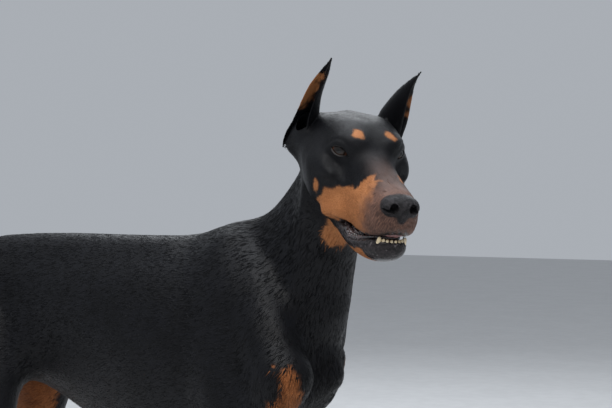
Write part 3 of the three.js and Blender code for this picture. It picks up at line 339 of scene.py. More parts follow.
# Hind leg: thigh, stifle, lower thigh with its tendon, hock and rear pastern
def hindLeg(leg):
    s, (hx, hz), (kx, kz), (ox, oz) = leg["side"], leg["top"], leg["bend"], leg["low"]
    y = s * (stance["legLine"] + 4)
    return [
        (tube([(hx - 10, s * 62, hz + 44, 32, 60), (hx, s * 76, hz - 20, 40, 84),
               (mix(hx, kx, 0.55), s * 87, mix(hz, kz, 0.5), 41, 76),
               (kx - 12, s * 90, kz + 18, 33, 50)]), 34),
        (tube([(-352, s * 52, 590, 24, 34), (hx - 66, s * 74, 520, 32, 48), (kx - 96, s * 88, 430, 30, 50),
               (kx - 94, s * 90, 352, 24, 36)]), 34),
        (tube([(hx + 48, s * 66, hz - 6, 26, 34), (kx + 6, s * 84, kz + 92, 31, 38),
               (kx + 8, s * 90, kz + 22, 26, 30)]), 26),
        (mass((kx + 12, s * 91, kz - 4), (22, 23, 32), (-0.25, 0, 1), (1, 0, 0)), 18),
        (tube([(kx + 26, s * 70, kz + 116, 12, 22), (kx + 20, s * 80, kz + 62, 14, 20)]), 34),
        (tube([(kx - 6, s * 90, kz - 10, 30, 42), (kx - 48, s * 90, kz - 56, 28, 42),
               (mix(kx, ox, 0.55), s * 89, mix(kz, oz, 0.52), 21, 31),
               (mix(kx, ox, 0.82), y, mix(kz, oz, 0.8), 15, 22), (ox, y, oz, 17, 22)]), 20),
        (limb((kx - 104, s * 89, kz - 56), (ox - 22, y, oz + 26), 20, 8.5), 18),
        (mass((ox - 22, y, oz + 14), (22, 11, 12), (0.12, 0, 1), (1, 0, 0)), 10),
        (mass((ox - 4, y, oz - 6), (26, 18, 20), (0.1, 0, 1), (1, 0, 0)), 14),
        (tube([(ox - 6, y, oz - 12, 16, 20), (ox, y, 138, 13.5, 16), (ox + 6, y, 92, 14, 15),
               (ox + 14, y, 50, 18.5, 16)]), 14),
    ]


# A paw's place in plan, and its size against a front paw
def pawMiddle(leg):
    outward, size = (-1, 1) if leg["front"] else (4, paws["hindSize"])
    return leg["paw"], leg["side"] * (stance["legLine"] + outward), size


def toePlace(toe, size):
    return 0 if abs(toe) < 1 else paws["outerBack"], toe * paws["spacing"] * size


# Paw: four arched toes, the middle two in front, on one large pad
def pawForms(leg):
    x, y, size = pawMiddle(leg)
    forms = [
        (mass((x - 1, y, 21), (29 * size, 25 * size, 19)), 10),
        (mass((x - 10, y, 8), (21 * size, 20 * size, 10.5)), 8),
        (limb((x - 8, y, 50), (x - 1, y, 34), 15.5 * size, 18.5 * size), 14),
    ]
    for toe in paws["toes"]:
        reach, across = toePlace(toe, size)
        knuckle = x + (22 + reach) * size
        forms += [
            (limb((x + 2 + reach, y + across * 0.82, 30), (knuckle, y + across * 0.98, 25),
                  12 * size, 11.2 * size), 3),
            (limb((knuckle, y + across * 0.98, 24), (x + (33 + reach) * size, y + across, 10.5),
                  10.9 * size, 8.6 * size), 2),
        ]
    return forms


muzzleStations = [
    (-14, 14, -78, -40, 44, 2, 2.2), (16, 10.5, -79, -42, 36.5, 2, 2.4), (34, 7, -78, -42, 31.5, 2.1, 2.8),
    (60, 2, -75, -42, 29.5, 2.2, 3), (86, -2, -70, -41, 29.5, 2.2, 3), (106, -4, -63, -37, 28, 2.2, 2.7),
    (120, -8, -54, -33, 23, 2.1, 2.4), (130, -13, -46, -30, 15, 2, 2),
]
jawStations = [
    (-20, -60, -100, -76, 38, 2, 2), (14, -66, -103, -80, 33, 2, 2.1), (45, -70, -104, -84, 30, 2, 2.2),
    (75, -66, -101, -82, 27.5, 2.1, 2.2), (98, -61, -94, -76, 24.5, 2.2, 2.2),
    (112, -58, -86, -71, 19.5, 2.2, 2.2), (122, -58, -78, -68, 12, 2, 2),
]


def lookDirection(s):
    a, b, c = stance["gaze"]
    return np.array([a, s * b, c])


def eyeAt(s):
    x, y, z = stance["eyeCentre"]
    return np.array([x, s * y, z])


def headForms(s):
    return [
        (mass((-22, s * 15, 1), (38, 28, 26), (1, 0, 0.12)), 22),
        (mass((-4, s * 24, 11), (18, 12, 9.5), (0.9, -s * 0.3, 0.25)), 14),
        (limb((8, s * 43, -22), (-50, s * 49, -22), 8, 12), 16),
        (mass((-42, s * 38, -42), (40, 20, 34), (1, 0, -0.25)), 24),
        (mass((-62, s * 33, -5), (40, 17, 24), (1, -s * 0.12, 0.1)), 22),
        (mass(eyeAt(s), (15.4, 14.8, 14.8), lookDirection(s)), 8),
        (limb((24, s * 32, -64), (4, s * 37, -72), 6, 10), 20),
        (mass((-88, s * 46, -14), (24, 17, 24), (0.4, s * 0.2, 0.8)), 18),
    ]


# Where the two ears differ, -1 is the right one. Rings from root to tip: radius, half sweep, depth
earShape = {
    "root": (-84, 54, -4),
    "tip": {-1: (-25, 56.5, 102), 1: (-27, 57, 93)},
    "opening": (0.52, 0.8, -0.3),
    "thick": 3.2,
    "bow": {-1: 7.0, 1: 3},
    "wide": {-1: 0.8, 1: 1.0},
    "deep": {-1: 1.0, 1: 1.22},
    "pinch": {-1: (0.40, 0.14), 1: (0.0, 0.0)},
    "pinchAt": (0.42, 0.24),
    "lobe": (0.24, 0.07, 0.012),
    "rings": [(17.5, 142, 1.1), (18.5, 124, 1.14), (16.6, 112, 1.24), (13.8, 100, 1.34), (10.8, 88, 1.36),
              (6.8, 74, 1.25), (1.5, 60, 1.0)],
}


# How much narrower the ear is on its outer or inner side, at a share of its height
def earPinch(s, t, inner):
    at, width = earShape["pinchAt"]
    return 1 - earShape["pinch"][s][inner] * np.exp(-((t - at) / width) ** 2)


# An ear's own frame: z from root to tip, open towards its opening, x to its inner side
def earFrame(s):
    flip = np.array([1, s, 1])
    root, tip = np.array(earShape["root"]) * flip, np.array(earShape["tip"][s]) * flip
    z = unit(tip - root)
    opening = np.array(earShape["opening"]) * flip
    opening = unit(opening - z * (opening @ z))
    return root, z, opening, np.cross(opening, z), np.linalg.norm(tip - root)


def inEar(s, h, o, a):
    root, z, opening, x, height = earFrame(s)
    return root + z * h + opening * o + x * a * s


def earRoot(s):
    return gather([
        (limb(inEar(s, -26, -2, -2), inEar(s, 4, -4, 0), 19, 14.5), 1),
        (mass(inEar(s, -8, -6, 14), (16, 9, 12), earFrame(s)[1]), 10),
    ])


field = {
    "trunk": gather([(barrel(trunkStations, 40), 1), (mass((192, 0, 661), (66, 24, 26)), 30),
                     (mass((324, 0, 510), (34, 34, 46), (0.3, 0, 1), (1, 0, 0)), 30),
                     *trunkForms(1), *trunkForms(-1)]),
    "tail": tube([(-330, 0, 642, 25, 22), (-368, 0, 656, 19, 19), (-404, 0, 672, 14.5, 15),
                  (-440, 0, 692, 11, 11.5)]),
    "neck": gather([(tube(neckStations, (0, 1, 0), headLeft, 24), 1), *neckForms(1), *neckForms(-1)]),
    "skull": gather([(mass((-56, 0, -15), (62, 49, 42.5)), 1), (mass((-92, 0, -12), (30, 30, 22)), 20),
                     (barrel(muzzleStations, 14), 20), *headForms(1), *headForms(-1)]),
    "jaw": barrel(jawStations, 10),
    "orbit": gather([(mass((17, s * 43, -12), (18, 7, 10), (0.8, -s * 0.3, -0.5)), 1) for s in (1, -1)]),
    "ears": gather([(earRoot(1), 1), (earRoot(-1), 1)]),
    "nose": gather([(mass((115, 0, -18.5), (17.5, 21, 13.5)), 1),
                    (mass((118.5, 12.5, -19), (12.5, 10, 11)), 5),
                    (mass((118.5, -12.5, -19), (12.5, 10, 11)), 5),
                    (mass((121, 0, -28), (9.5, 7.5, 12), (0, 0, 1), (1, 0, 0)), 6)]),
}
for name, leg in legs.items():
    field[name] = gather(frontLeg(leg) if leg["front"] else hindLeg(leg))
    field[name + "_paw"] = gather(pawForms(leg))


def headField(h):
    d = blend(field["skull"].distance(h), field["jaw"].distance(h), 9)
    d = carve(d, field["orbit"].distance(h), 14)
    return blend(d, field["ears"].distance(h), 12)


# The forms that join the trunk, in order, and how softly
joins = {"tail": 16, "neck": 34, "hind_right": 26, "hind_left": 26, "front_right": 24, "front_left": 24}
joins.update({name + "_paw": 9 for name in legs})


# The whole dog without its details
def bodyField(p):
    d = field["trunk"].distance(p)
    for name, soft in joins.items():
        form = field[name]
        near = np.all((p > form.low - 60) & (p < form.high + 60), axis=1)
        if near.any():
            d[near] = blend(d[near], form.distance(p[near]), soft)
    h = toHead(p)
    near = np.all((h > (-170, -110, -150)) & (h < (160, 110, 90)), axis=1)
    if near.any():
        d[near] = blend(d[near], headField(h[near]), 20)
    return d


def gradient(distance, p, step=0.5):
    steps = np.eye(3) * step
    return np.stack([distance(p + e) - distance(p - e) for e in steps], axis=1) / (2 * step)


# Moves points given near the skin onto it
def snap(p):
    for step in range(5):
        g = gradient(bodyField, p)
        p = p - g * (bodyField(p) / np.maximum((g * g).sum(1), 0.3))[:, None]
    return p


def lineDistance(p, line):
    best = np.full(len(p), 1e9)
    for a, b in zip(line[:-1], line[1:]):
        d = b - a
        q = p - a
        t = np.clip(q @ d / (d @ d), 0, 1)
        best = np.minimum(best, lengths(q - t[:, None] * d))
    return best


# Distance in a plane to a closed outline, negative inside
def outlineDistance(p, outline):
    outline = np.asarray(outline, float)
    best = np.full(len(p), 1e9)
    inside = np.zeros(len(p), bool)
    for a, b in zip(outline, np.roll(outline, -1, axis=0)):
        d = b - a
        q = p - a
        t = np.clip(q @ d / (d @ d), 0, 1)
        best = np.minimum(best, lengths(q - t[:, None] * d))
        crosses = (a[1] > p[:, 1]) != (b[1] > p[:, 1])
        with np.errstate(divide="ignore", invalid="ignore"):
            at = a[0] + d[0] * (p[:, 1] - a[1]) / d[1]
        inside ^= crosses & (p[:, 0] < at)
    return np.where(inside, -best, best)


# The mouth, seen from the side in the head's frame
mouthShape = {
    "upperLip": [(27, -73), (40, -73.5), (56, -73.5), (84, -67.5), (105, -60.5), (118, -53.5),
                 (128, -45), (150, -43)],
    "lowerLip": [(150, -57.5), (126, -57.5), (112, -59), (98, -64), (84, -71), (66, -79.5),
                 (52, -83), (38, -81), (27, -75)],
    "hollow": [([(31, -19), (60, -20), (88, -19), (88, 19), (60, 20), (31, 19)], -91, -52),
               ([(84, -19), (98, -18.5), (110, -14.5), (117, -7), (117, 7), (110, 14.5), (98, 18.5),
                 (84, 19)], -75, -52)],
    "voxel": 0.0015,
}
mouthOutline = mouthShape["upperLip"] + mouthShape["lowerLip"]


def slotDistance(h):
    return outlineDistance(h[:, [0, 2]], mouthOutline)


# Folds and swellings of the skin: points, width and height in millimetres, where a minus is a groove
headFolds = []
for s in (1, -1):
    headFolds += [
        ([(9, s * 17, -8), (8, s * 27, -14), (-1, s * 38, -15), (-12, s * 45, -10)], 2.6, -0.8),
        ([(12, s * 21, -15), (5, s * 32, -21), (-8, s * 44, -20)], 4, -0.5),
        ([(9, s * 17, 2), (5, s * 27, 12), (-5, s * 38, 12), (-15, s * 44, 4)], 2.2, -0.7),
        ([(8, s * 18, 14), (8, s * 27, 17), (-2, s * 37, 16)], 6, 1.0),
        ([(14, s * 16, -6), (28, s * 18, -11), (48, s * 22, -16), (72, s * 25, -18)], 8, -1.1),
        ([(22, s * 33, -34), (48, s * 29, -38), (78, s * 28, -32)], 11, 0.8),
        ([(-6, s * 52, -36), (-2, s * 47, -52), (2, s * 41, -66)], 9, -0.9),
        ([(20, s * 35, -76), (10, s * 39, -85), (-6, s * 38, -95)], 5, -0.9),
        ([(-34, s * 44, 8), (-56, s * 46, 14), (-74, s * 43, 18)], 10, -0.8),
        ([(-30, s * 56, -30), (-24, s * 55, -52), (-34, s * 50, -74)], 14, 1.0),
        ([(112, s * 21, -31), (117, s * 17, -33), (121, s * 10, -32)], 2.0, -0.8),
    ]
headFolds += [
    ([(131, 0, -27), (130, 0, -36), (128, 0, -47)], 1.2, -1.2),
    ([(18, 0, 10), (-6, 0, 22), (-32, 0, 35)], 9, -1.2),
    ([(-40, 0, 37), (-70, 0, 33), (-104, 0, 20)], 7, 0.8),
]
# Whisker roots in rows on each flew
for s in (1, -1):
    for row, z in enumerate((-30, -37, -44, -51)):
        for k in range(6 - row % 2):
            spot = (86 + 5.6 * k + row % 2 * 2.8, s * (30 - 0.3 * k * k), z - 0.35 * k)
            headFolds.append(([spot] * 2, 1.1, 0.3))

trunkFolds = []
for s in (1, -1):
    front, hind = (leg for leg in legs.values() if leg["side"] == s)
    sx, sz = front["top"]
    ex, ez = front["bend"]
    hx, hz = hind["top"]
    kx, kz = hind["bend"]
    trunkFolds += [
        ([(sx - 128, s * 52, 660), (sx - 84, s * 84, 612), (sx - 30, s * 100, 556)], 12, 1.2),
        ([(sx - 96, s * 62, 668), (sx - 50, s * 88, 610), (sx - 6, s * 98, 560)], 15, -1.4),
        ([(sx - 30, s * 112, 520), (ex + 10, s * 114, 450), (ex + 2, s * 112, 400)], 12, -1.8),
        ([(ex - 70, s * 104, 560), (ex - 62, s * 108, 480), (ex - 44, s * 104, 410)], 16, -1.8),
        ([(sx + 30, s * 66, 560), (sx + 22, s * 60, 520), (sx + 8, s * 52, 450)], 12, -2.4),
        ([(ex + 16, s * 108, 360), (ex + 22, s * 106, 310), (ex + 26, s * 102, 262)], 7, -1.2),
        ([(-118, s * 86, 560), (-168, s * 92, 506), (-206, s * 96, 452)], 16, -2.2),
        ([(-196, s * 74, 462), (-166, s * 68, 478), (-130, s * 70, 470)], 10, 1.6),
        ([(hx + 24, s * 108, 590), (mix(hx, kx, 0.5) + 6, s * 126, 480), (kx - 6, s * 120, 410)], 14, -2.0),
        ([(hx - 62, s * 96, 560), (mix(hx, kx, 0.5) - 66, s * 116, 460), (kx - 76, s * 112, 390)], 14, -1.6),
        ([(kx - 30, s * 116, kz - 30), (mix(kx, -410, 0.5), s * 108, 280)], 8, -1.2),
    ]
    for k in range(5):
        x = 60 - 40 * k
        rib = [(x + 10, s * 96, 606), (x, s * 106, 550), (x - 30, s * 100, 460 + 4 * k)]
        trunkFolds.append((rib, 11, -0.5))
    for u0, u1, a, b, width, height in (
            (0.96, 0.42, 0.86, 0.42, 7, -2.0), (0.94, 0.30, 0.62, 0.78, 7, -1.8),
            (0.9, 0.34, 0.92, 0.0, 11, -1.4), (0.62, 0.18, 0.94, -0.3, 12, -1.6),
            (0.98, 0.7, 0.34, 0.94, 6, -1.6)):
        middle = (u0 + u1) / 2
        trunkFolds.append(([inNeck(u0, s * a, b), inNeck(middle, s * a * 1.02, b), inNeck(u1, s * a, b)],
                           width, height))


# Each fold as a smooth line of points that lie on the skin
def settleFolds(folds, inHead):
    lines = []
    for points, width, height in folds:
        points = np.asarray(points, float)
        single = np.ptp(points, axis=0).max() < 0.01
        lines.append(points if single else smoothStations(points, 8))
    flat = np.vstack(lines)
    flat = snap(fromHead(flat) if inHead else flat)
    done = []
    for line, (points, width, height) in zip(lines, folds):
        own, flat = flat[:len(line)].copy(), flat[len(line):]
        own[-1] += 0.01
        done.append((own, width, height))
    return done


foldLines = settleFolds(headFolds, True) + settleFolds(trunkFolds, False)
print("folds placed:", len(foldLines))


def foldHeight(p):
    total = np.zeros(len(p))
    for line, width, height in foldLines:
        reach = 2.6 * width
        near = np.all((p > line.min(0) - reach) & (p < line.max(0) + reach), axis=1)
        if near.any():
            total[near] += height * np.exp(-(lineDistance(p[near], line) / width) ** 2)
    return total


# Waves in all directions, between about -1 and 1, to break up an edge
def wobble(p, size, seed):
    draw = np.random.default_rng(seed)
    ways = draw.normal(size=(7, 3))
    ways /= lengths(ways)[:, None]
    phase = draw.uniform(0, 6.28, 7)
    return np.sin(p @ ways.T * (6.28 / size) + phase).sum(1) / 3.2


coatDepth = {"head": 0.6, "body": 1.6}


# The skin: the body with its folds, nose and nostrils, inside the coat
def skinField(p):
    d = bodyField(p) - foldHeight(p)
    h = toHead(p)
    depth = mix(coatDepth["head"], coatDepth["body"], smooth(90, 200, lengths(h)))
    near = np.all((h > (80, -40, -60)) & (h < (150, 40, 20)), axis=1)
    if near.any():
        d[near] = blend(d[near], field["nose"].distance(h[near]) + 0.4, 1.6)
    return d + depth


# The skin with the rounded edges of the lips
def lipField(p):
    h = toHead(p)
    slot = slotDistance(h)
    return carve(skinField(p) - 1.5 * np.exp(-((slot - 2) / 4.5) ** 2), slot, 7)


# Leaves only these selected, with the last one active
def pick(*objs):
    bpy.ops.object.select_all(action="DESELECT")
    for obj in objs:
        obj.select_set(True)
    bpy.context.view_layer.objects.active = objs[-1]


def pointsOf(obj):
    out = np.empty(len(obj.data.vertices) * 3, np.float32)
    obj.data.vertices.foreach_get("co", out)
    return out.reshape(-1, 3).astype(float)


def movePoints(obj, points):
    obj.data.vertices.foreach_set("co", np.asarray(points, np.float32).ravel())
    obj.data.update()


def normalsOf(obj):
    out = np.empty(len(obj.data.vertices) * 3, np.float32)
    obj.data.vertex_normals.foreach_get("vector", out)
    return out.reshape(-1, 3).astype(float)


def trianglesOf(obj):
    obj.data.calc_loop_triangles()
    out = np.empty(len(obj.data.loop_triangles) * 3, np.int32)
    obj.data.loop_triangles.foreach_get("vertices", out)
    return out.reshape(-1, 3)


def applyModifier(obj, kind, **settings):
    pick(obj)
    modifier = obj.modifiers.new(kind.lower(), kind)
    for name, value in settings.items():
        setattr(modifier, name, value)
    bpy.ops.object.modifier_apply(modifier=modifier.name)


def meshFrom(name, points, faces):
    mesh = bpy.data.meshes.new(name)
    mesh.from_pydata([tuple(p) for p in points], [], [tuple(f) for f in faces])
    mesh.update()
    obj = bpy.data.objects.new(name, mesh)
    bpy.context.collection.objects.link(obj)
    return obj


def chooseVertices(obj, chosen):
    obj.data.vertices.foreach_set("select", chosen)
    edges = np.empty(len(obj.data.edges) * 2, np.int32)
    obj.data.edges.foreach_get("vertices", edges)
    obj.data.edges.foreach_set("select", chosen[edges.reshape(-1, 2)].all(1))
    counts = np.empty(len(obj.data.polygons), np.int32)
    obj.data.polygons.foreach_get("loop_total", counts)
    loops = np.empty(len(obj.data.loops), np.int32)
    obj.data.loops.foreach_get("vertex_index", loops)
    starts = np.concatenate([[0], np.cumsum(counts)[:-1]])
    obj.data.polygons.foreach_set("select", np.logical_and.reduceat(chosen[loops], starts))


# Runs edit operators on the chosen vertices of a mesh
def editChosen(obj, chosen, *steps):
    pick(obj)
    bpy.ops.object.mode_set(mode="EDIT")
    bpy.ops.mesh.select_mode(type="VERT")
    bpy.ops.object.mode_set(mode="OBJECT")
    chooseVertices(obj, chosen)
    bpy.ops.object.mode_set(mode="EDIT")
    for step in steps:
        step()
    bpy.ops.object.mode_set(mode="OBJECT")


def editAll(obj, *steps):
    editChosen(obj, np.ones(len(obj.data.vertices), bool), *steps)


# Turns a primitive made round the origin in millimetres into the head's frame
def intoHead(obj, at=(0, 0, 0), axes=None):
    p = pointsOf(obj)
    p = p @ np.asarray(axes) if axes is not None else p
    movePoints(obj, toMetres(fromHead(p + np.asarray(at))))


# A ball round the origin, the start of rounded pieces and of cutters
def ball(segments, rings, radius=1):
    bpy.ops.mesh.primitive_uv_sphere_add(segments=segments, ring_count=rings, radius=radius)
    return bpy.context.object


def egg(segments, rings, size):
    obj = ball(segments, rings)
    movePoints(obj, pointsOf(obj) * size)
    return obj


# Several overlapping closed meshes as one rounded cutter
def fuse(parts, voxel):
    pick(*parts)
    bpy.ops.object.join()
    cutter = bpy.context.object
    applyModifier(cutter, "REMESH", mode="VOXEL", voxel_size=voxel)
    return cutter


# Moves a mesh onto a field, a few millimetres at a time
def project(obj, distance, passes, reach, chosen=None, byGradient=False):
    for step in range(passes):
        p = toTrunk(pointsOf(obj))
        use = np.ones(len(p), bool) if chosen is None else chosen
        q = p[use]
        d = distance(q)
        if byGradient:
            g = gradient(distance, q, 0.4)
            way = g / np.maximum((g * g).sum(1), 0.35)[:, None]
        else:
            way = normalsOf(obj)[use]
        p[use] = q - way * np.clip(d, -reach, reach)[:, None]
        movePoints(obj, toMetres(p))


# The fillings are eggs in the head's frame, by place and size, that close the mouth and the ear cups
skinShape = {
    "voxel": 0.0077,
    "fatten": 0.0006,
    "triangles": 196000,
    "fillings": [((62, 0, -66), (44, 27, 25)), ((94, 0, -60), (31, 20, 20)), ((40, 0, -74), (30, 30, 20))]
    + [(inEar(s, h, 0, 0), (15, 15, 15)) for h in (6, -12) for s in (1, -1)],
}


# One closed rough body from copies of the solids, without the ears and the tongue
def roughBody():
    copies = []
    for name, node in frame["nodes"].items():
        if name.startswith(("ear_", "tongue")):
            continue
        copy = node.copy()
        copy.data = node.data.copy()
        copy.parent = None
        copy.matrix_world = Matrix.Identity(4)
        bpy.context.collection.objects.link(copy)
        copies.append(copy)
    for at, size in skinShape["fillings"]:
        plug = egg(24, 16, size)
        intoHead(plug, at)
        copies.append(plug)
    pick(*copies)
    bpy.ops.object.join()
    body = bpy.context.object
    body.name = "skin"
    editAll(body, lambda: bpy.ops.mesh.remove_doubles(threshold=0.00001),
            lambda: bpy.ops.transform.shrink_fatten(value=skinShape["fatten"]))
    applyModifier(body, "REMESH", mode="VOXEL", voxel_size=skinShape["voxel"])
    return body


# Keeps only the largest closed surface of a mesh
def keepLargest(obj):
    editAll(obj, lambda: bpy.ops.mesh.separate(type="LOOSE"))
    parts = [o for o in bpy.context.selected_objects if o.type == "MESH"]
    parts.sort(key=lambda o: len(o.data.vertices))
    for part in parts[:-1]:
        bpy.data.objects.remove(part)
    pick(parts[-1])
    return parts[-1]


def relax(obj, factor, repeat, chosen=None):
    chosen = np.ones(len(obj.data.vertices), bool) if chosen is None else chosen
    editChosen(obj, chosen, lambda: bpy.ops.mesh.vertices_smooth(factor=factor, repeat=repeat))


# Divides the faces in a region
def finer(obj, region):
    chosen = region(toTrunk(pointsOf(obj)))
    editChosen(obj, chosen, lambda: bpy.ops.mesh.subdivide(number_cuts=1, smoothness=0))


def inHeadBox(h, low, high):
    return np.all((h > low) & (h < high), axis=1)


# Where the rough body is divided once, then again on the head and toes, then at the eyes, nose and lips
def upperRegion(p):
    h = toHead(p)
    neck = (p[:, 0] > 236) & (p[:, 2] > 470) & (p[:, 2] > 1350 - 2.6 * p[:, 0])
    return (h[:, 0] > -190) & (lengths(h) < 260) | neck | (p[:, 2] < 84)


def headRegion(p):
    h = toHead(p)
    ears = np.minimum(*(lengths(h - inEar(s, 0, 0, 0)) for s in (1, -1))) < 34
    toes = np.zeros(len(p), bool)
    for leg in legs.values():
        x, y, size = pawMiddle(leg)
        toes |= (p[:, 2] < 42) & (p[:, 0] > x + 4) & (p[:, 0] < x + 60) & (np.abs(p[:, 1] - y) < 45)
    return inHeadBox(h, (-36, -80, -112), (150, 80, 70)) | ears | toes


def fineRegion(p):
    h = toHead(p)
    eyes = np.minimum(*(lengths(h - eyeAt(s) - lookDirection(s) * 9) for s in (1, -1))) < 17
    nose = inHeadBox(h, (99, -30, -52), (150, 30, 10))
    slot = slotDistance(h)
    mouth = (slot < 7) & (slot > -8) & (h[:, 0] > 20)
    return eyes | nose | mouth


def makeSkin():
    skin = keepLargest(roughBody())
    print("rough body:", len(skin.data.vertices))
    relax(skin, 0.5, 4)
    project(skin, bodyField, 3, 5)
    relax(skin, 0.5, 2)
    project(skin, skinField, 2, 4)
    relax(skin, 0.5, 3)
    finer(skin, upperRegion)
    project(skin, skinField, 1, 3)
    relax(skin, 0.5, 4)
    print("neck and feet finer:", len(skin.data.polygons))
    finer(skin, headRegion)
    relax(skin, 0.5, 1, headRegion(toTrunk(pointsOf(skin))))
    project(skin, skinField, 2, 2, headRegion(toTrunk(pointsOf(skin))))
    print("head finer:", len(skin.data.polygons))
    finer(skin, fineRegion)
    project(skin, skinField, 2, 1.5, headRegion(toTrunk(pointsOf(skin))))
    relax(skin, 0.4, 1)
    editAll(skin, lambda: bpy.ops.mesh.quads_convert_to_tris(quad_method="BEAUTY", ngon_method="BEAUTY"))
    print("skin before the openings:", len(skin.data.polygons), "triangles")
    return skin


# A prism in the head's frame: an outline in two of its axes, from low to high along the third
def prism(name, outline, axes, at, low, high):
    bpy.ops.mesh.primitive_circle_add(vertices=len(outline), radius=1, fill_type="NGON")
    obj = bpy.context.object
    obj.name = name
    movePoints(obj, [(u, v, low) for u, v in outline])
    rise = {"value": (0, 0, high - low)}
    editAll(obj, lambda: bpy.ops.mesh.extrude_region_move(TRANSFORM_OT_translate=rise),
            lambda: bpy.ops.mesh.select_all(action="SELECT"),
            lambda: bpy.ops.mesh.normals_make_consistent(inside=False))
    intoHead(obj, at, axes)
    return obj


# Frame of one eye: x to the temple on the left side, y up, z out along the gaze
def gazeAxes(s):
    z = unit(lookDirection(s))
    x = unit(np.cross((0, 0, 1), z))
    return np.array([x, np.cross(z, x), z])


# Corners of the eye and the pull of each lid in the eye's frame, then the thickness of a lid's edge
lids = {"inner": (-13.1, -2.6), "outer": (11.6, 1.2), "upper": (-2.5, 13), "lower": (2.5, -9.8), "rim": 0.85}
holeVoxel = 0.0008


def lidEdge(s, lid, count):
    t = np.linspace(0, 1, count)[:, None]
    a, b, c = (np.array((s * lids[k][0], lids[k][1])) for k in ("inner", lid, "outer"))
    return (1 - t) ** 2 * a + 2 * t * (1 - t) * b + t * t * c


def cut(target, cutter):
    applyModifier(target, "BOOLEAN", operation="DIFFERENCE", object=cutter, solver="MANIFOLD")
    bpy.data.objects.remove(cutter)


def joinTo(target, other):
    applyModifier(target, "BOOLEAN", operation="UNION", object=other, solver="MANIFOLD")
    bpy.data.objects.remove(other)


def openMouth(skin):
    sideways = [(1, 0, 0), (0, 0, 1), (0, -1, 0)]
    slot = prism("slot", mouthOutline, sideways, (0, 0, 0), -60, 60)
    hollows = [prism("hollow", outline, np.eye(3), (0, 0, 0), low, high)
               for outline, low, high in mouthShape["hollow"]]
    cut(skin, fuse([slot, *hollows], mouthShape["voxel"]))


def openEye(skin, s):
    outline = np.vstack([lidEdge(s, "upper", 14), lidEdge(s, "lower", 14)[-2:0:-1]])
    opening = prism("opening", outline, gazeAxes(s), eyeAt(s), 0, 30)
    socket = ball(48, 32, stance["eyeRadius"] + 0.25)
    intoHead(socket, eyeAt(s))
    cut(skin, fuse([socket, opening], holeVoxel))


# An ear's shell: rings of its back and of its cup from root to tip
def earShell(s, rows=46, columns=30):
    root, z, opening, x, height = earFrame(s)
    lobeSize, lobeAt, lobeWidth = earShape["lobe"]
    rings = smoothStations(earShape["rings"], rows)
    points = []
    for inner in (0, 1):
        for i in range(rows + 1):
            radius, sweep, cup = rings[i]
            t = i / rows
            for j in range(columns + 1):
                u = 2 * j / columns - 1
                edge = 1 - abs(u) ** 6 * 0.75
                thick = min(earShape["thick"], 0.5 * radius) * edge * inner * (1 - 0.35 * t)
                start = -16 - 19 * max(-u, 0) ** 1.5
                a = u * math.radians(sweep)
                lobe = 1 + lobeSize * max(-u, 0) ** 2 * math.exp(-((t - lobeAt) ** 2) / lobeWidth)
                reach = radius - thick
                pinch = mix(1, earPinch(s, t, int(u > 0)), min(1, 3 * abs(u)))
                shrink = mix(1, earShape["wide"][s], min(1, 3 * t)) * pinch
                bow = earShape["bow"][s] * math.sin(math.pi * t) ** 1.5
                sideways = math.sin(a) * reach * lobe * shrink - bow
                p = root + z * mix(start, height, t) + x * s * sideways
                ridges = 0.9 * inner * math.exp(-((t - 0.3) / 0.25) ** 2) * math.cos(5 * a)
                deep = cup * mix(1, earShape["deep"][s], min(1, 3 * t))
                p = p + opening * (3 * math.sin(math.pi * t) - math.cos(a) * (reach - ridges) * deep)
                points.append(p)

    def at(layer, i, j):
        return (layer * (rows + 1) + i) * (columns + 1) + j
    faces = []
    for i in range(rows):
        for j in range(columns):
            faces.append((at(0, i, j), at(0, i + 1, j), at(0, i + 1, j + 1), at(0, i, j + 1)))
            faces.append((at(1, i, j), at(1, i, j + 1), at(1, i + 1, j + 1), at(1, i + 1, j)))
        faces.append((at(0, i, 0), at(1, i, 0), at(1, i + 1, 0), at(0, i + 1, 0)))
        faces.append((at(0, i, columns), at(0, i + 1, columns), at(1, i + 1, columns), at(1, i, columns)))
    for j in range(columns):
        faces.append((at(0, 0, j), at(0, 0, j + 1), at(1, 0, j + 1), at(1, 0, j)))
        faces.append((at(0, rows, j), at(1, rows, j), at(1, rows, j + 1), at(0, rows, j + 1)))
    shell = meshFrom("earShell", toMetres(fromHead(points)), faces)
    editAll(shell, lambda: bpy.ops.mesh.normals_make_consistent(inside=False))
    return shell


# The hollow at the ear's foot, as a place in the ear's frame and the radii of an egg
earHollow = {"at": {-1: (14, 1.5, -1.5), 1: (21, 1.5, -2)}, "size": (9.0, 12.4, 25)}


def earCup(s):
    root, z, opening, x, height = earFrame(s)
    cup = egg(40, 28, earHollow["size"])
    intoHead(cup, inEar(s, *earHollow["at"][s]), [x, np.cross(z, x), z])
    return cup


# One nostril: a round hole that runs out sideways into a slit
def openNostril(skin, s):
    holes = []
    for at, size, way in (((128.5, s * 11, -16.8), (10, 5, 5.4), (1, s * 0.25, 0)),
                          ((124.5, s * 17, -20), (9, 7, 2.1), (0.7, s, -0.35))):
        hole = egg(32, 24, size)
        x = unit(way)
        y = unit(np.cross((0, 0, 1), x))
        intoHead(hole, at, [x, y, np.cross(x, y)])
        holes.append(hole)
    cut(skin, fuse(holes, holeVoxel))


# Evens out the skin near an edge and moves it onto a field with that edge rounded
def softenEdge(skin, distance, near, passes, reach):
    chosen = near(toTrunk(pointsOf(skin)))
    for step in range(passes):
        relax(skin, 0.4, 1, chosen)
        project(skin, distance, 1, reach, chosen, byGradient=True)


def nearSlot(p):
    slot = slotDistance(toHead(p))
    d = bodyField(p)
    return (np.abs(slot) < 8) & (d > -7) & (toHead(p)[:, 0] > 18)


